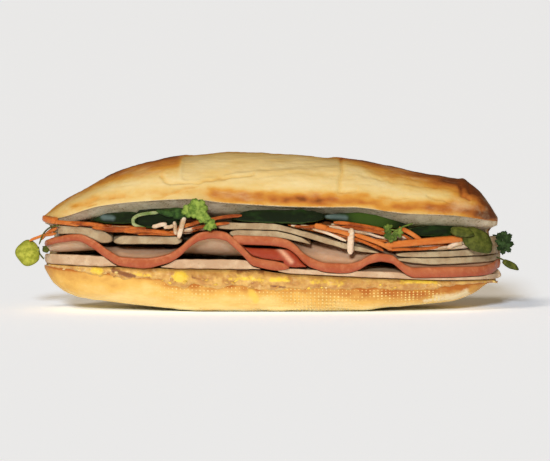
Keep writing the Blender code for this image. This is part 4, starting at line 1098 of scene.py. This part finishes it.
# Shreds that show by themselves: start and end as x, z and distance before the lips, width, bow
shownShreds = {
    "left": {
        "carrot": [
            ((-98, 43, 2.0), (-78, 41.2, 2.2), 2.4, 0.6), ((-86, 41, 2.2), (-60, 41, 2.0), 2.5, -0.5),
            ((-80, 39.6, 1.4), (-62, 39.4, 1.6), 2.0, 0.2),
            ((-70.4, 39.2, 2.6), (-48, 38.9, 2.4), 2.3, 0.7),
            ((-64, 38.0, 1.4), (-44, 38.3, 2.0), 1.7, 0.2), ((-40, 42.4, 1.6), (-26, 45.6, 1.8), 2.2, 0.5),
            ((-38, 40.8, 1.4), (-20, 43.6, 1.6), 1.8, 0.5), ((-33, 44.6, 1.2), (-14, 47.2, 0.6), 2.0, 0.4)],
        "light": [
            ((-109.6, 44.4, 2.8), (-103.4, 43.4, 2.2), 4.0, 0.0),
            ((-117.2, 33.2, 3.4), (-104, 37.4, 3.0), 1.8, 0.7),
            ((-111.6, 33.6, 3.0), (-103.4, 40.4, 2.6), 1.9, 0.9),
            ((-106, 43, 1.4), (-92, 42.2, 2.0), 2.6, 0.3)],
        "daikon": [
            ((-57, 41.6, 2.0), (-50, 43.2, 2.2), 2.6, 0.0),
            ((-51.4, 41.2, 2.6), (-46.6, 42.2, 2.8), 2.2, 0.0),
            ((-41.6, 47, 2.2), (-44.4, 36, 3.4), 2.8, 0.3),
            ((-46.4, 44.4, 1.8), (-45.6, 38, 2.6), 1.8, -0.2)],
    },
    "right": {
        "carrot": [
            ((30, 43.6, 1.0), (56, 39.4, 1.6), 2.4, 0.8), ((34, 41.8, 1.4), (60, 36.8, 1.8), 2.0, 0.8),
            ((39, 36.4, 1.8), (54, 30.2, 2.0), 1.8, 0.4), ((60, 39, 1.6), (70, 33.4, 1.8), 1.7, 0.5),
            ((56, 30.6, 1.6), (82, 31.6, 1.8), 1.9, -0.2)],
        "light": [
            ((20.8, 42.2, 2.0), (27, 41.2, 2.2), 3.4, 0.2), ((24, 41, 2.2), (40, 37.2, 2.4), 2.6, 0.6),
            ((40, 38, 2.2), (58, 31, 2.2), 2.8, 0.6), ((61.4, 41.2, 2.4), (73, 34.2, 2.6), 2.8, 0.9),
            ((54, 32.6, 2.6), (94, 35.6, 2.6), 4.2, 0.3)],
        "daikon": [
            ((20, 40.6, 1.6), (36, 35, 1.8), 1.8, 0.6), ((38.6, 41.2, 2.4), (38, 28.6, 3.6), 3.0, 0.5),
            ((42, 40.4, 1.4), (66, 35.8, 1.8), 1.9, 0.6), ((74, 30.8, 1.6), (98, 32.2, 1.8), 1.5, 0.3),
            ((84.6, 31.2, 2.6), (92, 33.8, 2.8), 2.8, 0.3), ((90, 33.8, 2.4), (97, 32.6, 2.6), 1.8, 0.3),
            ((86, 30.6, 1.8), (104, 32.4, 1.6), 1.4, 0.5)],
    },
}


def shredPath(start, end, bow):
    t = np.linspace(0, 1, heapLook["steps"])
    x, z, out = (np.array(start)[:, None] * (1 - t) + np.array(end)[:, None] * t)
    wander = 0.3 * ripple(t * 2.2, start[0], start[1])
    return np.stack([x, facing(x, out) + wander * 0.6, z + bow * np.sin(math.pi * t) + wander], -1)


def fillerPath(row):
    # A shred lying somewhere in the heap, in millimetres behind the lips
    look, (start, stop) = heapLook, row["span"]
    length = chance.uniform(*look["length"])
    x0 = chance.uniform(start, stop - length * 0.8)
    x = np.linspace(x0, min(x0 + length, stop), look["steps"])
    back = chance.uniform(*look["back"])
    low, high = along(row["bottom"], x) + 0.7, np.minimum(along(row["top"], x), upperPlane(x, 0.0)) - 0.8
    tilt = np.linspace(chance.uniform(0, 1), chance.uniform(0, 1), look["steps"])
    front = low + tilt * np.maximum(high - low, 0)
    z = wedgeHeight(x, max(back, 0) / 60, front, 0.88) + 0.3 * ripple(x / 5, x0, back)
    return np.stack([x, facing(x, -sweepLook["clear"] - back) + 0.5 * ripple(x / 6, back, x0), z], -1)


def shredFinish(name, light, deep, wet):
    make = Finish(name, {"Specular IOR Level": 0.2, "Coat Weight": wet, "Coat Roughness": 0.15,
                         **soft(0.15, 0.5, 4, 1.5, 0.8)})
    tone = make.blend(make.step(make.noise(4, 4, 0.6, (0.5, 1, 1)), 0.36, 0.66), light, deep)
    return make.paint(Base_Color=tone, Roughness=0.22 + make.noise(2) * 0.2,
                      Normal=make.bump(make.noise(0.9, 3, 0.5), 0.3, 0.3))


def makeHeap(side, finishes):
    look, row = heapLook, heapLook[side]
    strips = {kind: [(shredPath(start, end, bow), width, look["twist"]) for start, end, width, bow in shreds]
              for kind, shreds in shownShreds[side].items()}
    for _ in range(row["fill"]):
        kind = look["kinds"][int(np.searchsorted(look["kindShares"], chance.uniform()))]
        path, width, twist = fillerPath(row), chance.uniform(*look["wide"]), chance.uniform(*look["twists"])
        strips[kind].append((path, width, twist))
    # The heap's inner mass, set back behind the shreds and painted dark as the shade that shows between them
    bed = {"span": row["span"], "layer": "heap", "out": -6.5, "reach": 0.5, "seed": 50, "rows": 12,
           "rough": 0.5,
           "bottom": lambda x: along(row["bottom"], x) + 0.2,
           "top": lambda x: np.minimum(along(row["top"], x), upperPlane(x, 0.0) - 0.5)}
    makeSheet("pickleBed" + side.capitalize(), row["node"], "pickles", bed, finishes["bed"])
    for kind, paths in strips.items():
        piece = sweepPaths(kind + "Shreds" + side.capitalize(), paths, finishes[kind], True)
        settle(piece, "pickles", row["node"])


def makePickles():
    look = heapLook
    finishes = {"carrot": shredFinish("pickledCarrot", look["carrot"], look["carrotDeep"], look["wet"]),
                "light": shredFinish("carrotLight", look["carrotLight"], look["carrot"], look["wet"]),
                "daikon": shredFinish("pickledDaikon", look["daikon"], look["daikonDeep"], look["wet"]),
                "bed": shredFinish("pickleBed", look["bed"], look["shadeBedDeep"], 0.0)}
    for side in ("left", "right"):
        makeHeap(side, finishes)
    print("pickles: carrot and daikon shreds on two beds")


# Coriander. Each sprig: name, node, tones, stem width, stems as x, z and distance before the lips, and leaves
# as the same three, heading in degrees, lean, size and depth of the notches; below 0 a leaf is smooth and
# that share of its length wide
corianderLook = {
    "tones": {"lime": ((0.21, 0.22, 0.02), (0.42, 0.41, 0.055)),
              "fresh": ((0.08, 0.14, 0.018), (0.27, 0.35, 0.06)),
              "deep": ((0.010, 0.026, 0.005), (0.04, 0.09, 0.016)),
              "olive": ((0.045, 0.052, 0.008), (0.11, 0.115, 0.02)),
              "shade": ((0.04, 0.07, 0.01), (0.16, 0.21, 0.035)),
              "curly": ((0.010, 0.02, 0.005), (0.035, 0.065, 0.018))},
    "sprigs": [
        ("corianderLeft", "coriander_left", "lime", 0.9,
         [[(-113.6, 28.8, 4.2), (-112.4, 29.2, 4.1)]], [(-112.9, 28.6, 4.2, 188, 0.1, 10.8, -1.0)]),
        ("corianderBud", "coriander_left", "olive", 0.8,
         [[(-102, 41.8, 5.6), (-106.6, 40.4, 4.9), (-110.4, 36.6, 4.2), (-112.4, 31.6, 4.0)],
          [(-112.8, 30.6, 4.0), (-112.2, 27.4, 3.8), (-110, 24.4, 3.4)],
          [(-110.6, 30.6, 3.4), (-108.2, 29.6, 3.8)]],
         [(-108.0, 30.6, 4.1, 225, 0.1, 3.0, -1.0)]),
        ("corianderCentre", "coriander_centre", "fresh", 0.8,
         [[(-26, 41.4, 5.0), (-29.6, 43.6, 5.2), (-33.6, 47.6, 5.2), (-37, 51.4, 5.0)],
          [(-33.4, 47.6, 5.2), (-29, 46.4, 5.4)], [(-36, 50.4, 5.1), (-42, 49.6, 5.0)]],
         [(-34.2, 49.6, 5.1, 118, 0.1, 6.6, 0.16), (-31.4, 48.6, 5.6, 200, 0.15, 5.2, 0.14),
          (-33, 47.4, 5.4, 305, 0.2, 4.2, 0.2), (-38.4, 50.2, 5.3, 196, 0.1, 4.8, 0.2),
          (-30.4, 43.6, 5.2, 340, 0.1, 4.4, 0.2), (-29.2, 43.4, 5.4, 250, 0.1, 3.0, 0.2)]),
        ("corianderDarkLeaf", "coriander_dark_leaf", "deep", 0.7,
         [[(-38, 47, 3.0), (-43, 48.2, 3.2), (-46, 48.6, 3.2)]],
         [(-41.5, 49.6, 3.2, 184, 0.0, 11.5, -0.34), (-46, 48.6, 3.3, 172, 0.0, 9.0, -0.3),
          (-40, 48.4, 3.2, 196, 0.1, 7.0, -0.4)]),
        ("corianderMiddle", "coriander_middle", "shade", 0.8,
         [[(68, 43.4, 4.6), (62.6, 41.6, 5.2), (58, 38.6, 5.4)], [(61, 40, 5.4), (57, 40.6, 5.4)]],
         [(57.6, 38.6, 5.4, 200, 0.1, 3.8, 0.25), (58, 38.2, 5.5, 260, 0.1, 4.0, 0.25),
          (57, 40.8, 5.4, 160, 0.0, 3.4, 0.25), (60.6, 39.6, 5.6, 300, 0.1, 3.4, 0.3)]),
        ("corianderOlive", "coriander_olive", "olive", 1.1,
         [[(92, 38.8, 5.0), (98, 38, 5.2), (103, 35, 5.2), (106.6, 30.6, 5.0)],
          [(97, 37.6, 5.4), (100, 34, 5.3), (101, 31.4, 5.2)]],
         [(93.6, 39.6, 5.4, 326, 0.1, 15.5, -0.62), (101.4, 37.2, 5.6, 300, 0.1, 9.0, -0.62),
          (86.6, 40.2, 5.2, 352, 0.1, 11.0, -0.4)]),
        ("corianderRight", "coriander_right", "curly", 0.8,
         [[(107, 36.8, 5.6), (110.4, 35.4, 5.8), (112.4, 32, 5.6)]],
         [(111.4, 34.6, 5.8, 75, 0.0, 3.6, 0.3), (112.2, 34.4, 5.9, 25, 0.1, 4.8, 0.3),
          (112.8, 32.8, 5.8, 350, 0.1, 4.8, 0.3), (113, 31.6, 5.8, 310, 0.1, 4.6, 0.3),
          (112.6, 31.6, 6.1, 262, 0.0, 4.8, 0.3), (111.4, 33.4, 6.2, 180, 0.0, 3.0, 0.3),
          (113.4, 33.6, 6.3, 60, 0.0, 3.4, 0.3)]),
        ("corianderTip", "coriander_tip", "olive", 0.8,
         [[(109, 25.8, 3.2), (112.6, 24, 3.2), (115.6, 22, 3.0)]],
         [(112.8, 23.8, 3.2, 332, 0.0, 8.4, -0.36)]),
    ],
}
leafShape = {"rings": 10, "spokes": 97, "half": 118, "lobe": 47, "teeth": 0.16, "thick": 0.13, "fold": 0.05,
             "droop": 0.16, "wave": 0.12, "stemSteps": 20}


def leafPatch(base, heading, lean, size, notch, seed):
    # A leaf in polar form about its base, lobed and toothed or smooth, as two close faces with one grid
    shape = leafShape
    forward = np.array([math.cos(math.radians(heading)), -lean, math.sin(math.radians(heading))])
    forward /= np.linalg.norm(forward)
    facingWay = np.array([0.25 * math.sin(seed), -1.0, 0.35])
    face = facingWay - forward * (facingWay @ forward)
    face /= np.linalg.norm(face)
    across = np.cross(face, forward)
    angle = np.radians(np.linspace(-shape["half"], shape["half"], shape["spokes"]))[None, :]
    share = np.linspace(0.03, 1, shape["rings"])[:, None]
    lobe = math.radians(shape["lobe"])
    crease = np.abs(np.sin(angle * math.pi / lobe))
    if notch < 0:
        radius = size * share * np.cos(angle * 0.76) ** 1.1 * (1 + 0.035 * np.cos(angle * 7 + 1) * share)
        across = across * -notch
        crease = crease * 0.3
    else:
        outline = np.zeros_like(angle)
        for k in range(-2, 3):
            off = np.abs(angle - k * lobe) / (lobe / 2)
            outline = np.maximum(outline, (1 - 0.13 * abs(k)) * (1 - notch * np.minimum(off, 1.4) ** 2.2))
        outline = outline * (1 + notch * shape["teeth"] * np.cos(angle * 6 * math.pi / lobe))
        radius = size * share * (1 + (outline - 1) * share)
    bend = size * (shape["fold"] * crease * share - shape["droop"] * share ** 2)
    bend = bend + shape["wave"] * ripple(radius / 1.6, angle * 3, seed)
    vein = np.cos(angle * math.pi / lobe) ** 16 * (1 - share) ** 0.5
    middle = np.array(base) + forward * (radius * np.cos(angle))[..., None]
    middle = middle + across * (radius * np.sin(angle))[..., None]
    layers = [middle + face * (bend + lift)[..., None] for lift in (-shape["thick"], shape["thick"])]
    return layers, np.stack(np.broadcast_arrays(vein, share)).reshape(2, -1)


def leafMesh(layers):
    # Both faces of a leaf, joined round its rim
    rings, steps = layers[0].shape[:2]
    count = rings * steps
    faces = [[start + corner for corner in face] for start in (0, count) for face in gridFaces(rings, steps)]
    rim = list(range(steps)) + [i * steps + steps - 1 for i in range(1, rings)]
    rim += [(rings - 1) * steps + k for k in range(steps - 2, -1, -1)]
    rim += [i * steps for i in range(rings - 2, 0, -1)]
    faces += [[a, b, b + count, a + count] for a, b in zip(rim, rim[1:] + rim[:1])]
    return np.concatenate([layer.reshape(-1, 3) for layer in layers]), faces


def leafFinish(kind):
    tone, light = corianderLook["tones"][kind]
    make = Finish("leaf" + kind.capitalize(), {"Roughness": 0.5, "Specular IOR Level": 0.15,
                                               **soft(0.1, 0.3, 2, 3, 1)})
    colour = make.blend(make.step(make.noise(2.6, 4, 0.6), 0.36, 0.68), tone, light)
    colour = make.blend(make.stored("vein") * 0.45, colour, light)
    rim = make.step(make.stored("tip") + (make.noise(2) - 0.5) * 0.4, 0.7, 1.05)
    colour = make.blend(rim * 0.6, colour, tuple(channel * 0.55 for channel in tone))
    return make.paint(Base_Color=colour, Normal=make.bump(make.noise(0.8, 3, 0.5), 0.25, 0.2))


def makeCoriander():
    finishes = {kind: leafFinish(kind) for kind in corianderLook["tones"]}
    for name, node, kind, width, stems, leaves in corianderLook["sprigs"]:
        lines = [[(x, facing(x, out), z) for x, z, out in stem] for stem in stems]
        paths = [(smoothPath(line, leafShape["stemSteps"]), width, 0.0) for line in lines]
        settle(sweepPaths(name + "Stem", paths, finishes[kind], False), "coriander", node)
        points, faces, marks, count = [], [], [], 0
        for seed, (x, z, out, heading, lean, size, notch) in enumerate(leaves, 1):
            layers, mark = leafPatch((x, facing(x, out), z), heading, lean, size, notch, seed)
            more, sides = leafMesh(layers)
            faces += [[count + k for k in side] for side in sides]
            points.append(more)
            marks += [mark, mark]
            count += len(more)
        stored = dict(zip(("vein", "tip"), np.concatenate(marks, 1)))
        settle(meshPiece(name, np.concatenate(points), faces, finishes[kind], stored), "coriander", node)
    print("coriander: seven sprigs")


# Studio. Each lamp: name, where its light comes from, strength, spread in degrees, colour, and whether wet
# surfaces mirror it
studio = {
    "tone": (1.0, 0.993, 0.984), "shine": 0.845, "world": 0.13, "sky": (1.35, 1.0, 0.6), "floorReach": 20.0,
    "target": (1.9, -36.0, 39.9), "distance": 3000.0, "elevation": 3.2, "lens": 409.0, "farthest": 60.0,
    "lamps": [("keyLamp", (-0.4, -0.68, 0.62), 0.9, 14, (1.18, 1.0, 0.8), True),
              ("lowLamp", (-0.1, -0.95, 0.28), 2.7, 8, (0.92, 1.0, 1.1), False)],
}


def makeStudio():
    # A wide plain floor, painted so that it comes out at the wanted tone under these lamps
    look = studio
    light = look["world"] * np.array(look["sky"])
    for _, way, power, _, colour, _ in look["lamps"]:
        light = light + power / math.pi * way[2] / np.linalg.norm(way) * np.array(colour)
    reach = look["floorReach"] / mm
    points = [(x, y, 0) for y in (-reach, reach) for x in (-reach, reach)]
    shade = tuple(float(channel) for channel in np.array(look["tone"]) * look["shine"] / light)
    make = Finish("studioFloor", {"Roughness": 0.9, "Specular IOR Level": 0.1, "Base Color": shade})
    meshPiece("studioFloor", points, [[0, 1, 3, 2]], make.material)

    world = bpy.data.worlds.new("studioWorld")
    bpy.context.scene.world = world
    world.use_nodes = True
    back = world.node_tree.nodes["Background"]
    back.inputs[0].default_value = (*look["sky"], 1.0)
    back.inputs[1].default_value = look["world"]

    for name, way, power, spread, colour, mirrored in look["lamps"]:
        lamp = bpy.data.lights.new(name, "SUN")
        lamp.energy = power
        lamp.angle = math.radians(spread)
        lamp.color = colour
        holder = bpy.data.objects.new(name, lamp)
        holder.location = Vector(way)
        holder.visible_glossy = mirrored
        holder.rotation_euler = Vector(way).to_track_quat("Z", "Y").to_euler()
        bpy.context.scene.collection.objects.link(holder)

    camera = bpy.data.objects.new("camera", bpy.data.cameras.new("camera"))
    camera.data.lens = look["lens"]
    camera.data.clip_end = look["farthest"]
    bpy.context.scene.collection.objects.link(camera)
    angle = math.radians(look["elevation"])
    target = Vector(look["target"]) * mm
    camera.location = target + Vector((0, -math.cos(angle), math.sin(angle))) * look["distance"] * mm
    camera.rotation_euler = (target - camera.location).to_track_quat("-Z", "Y").to_euler()
    bpy.context.scene.camera = camera
    bpy.context.scene.view_settings.view_transform = "Standard"


makeStudio()
makeBread()
makeTrayDots()
makeSpread()
makePork()
makeHam()
makeCucumber()
makePickles()
makeCoriander()
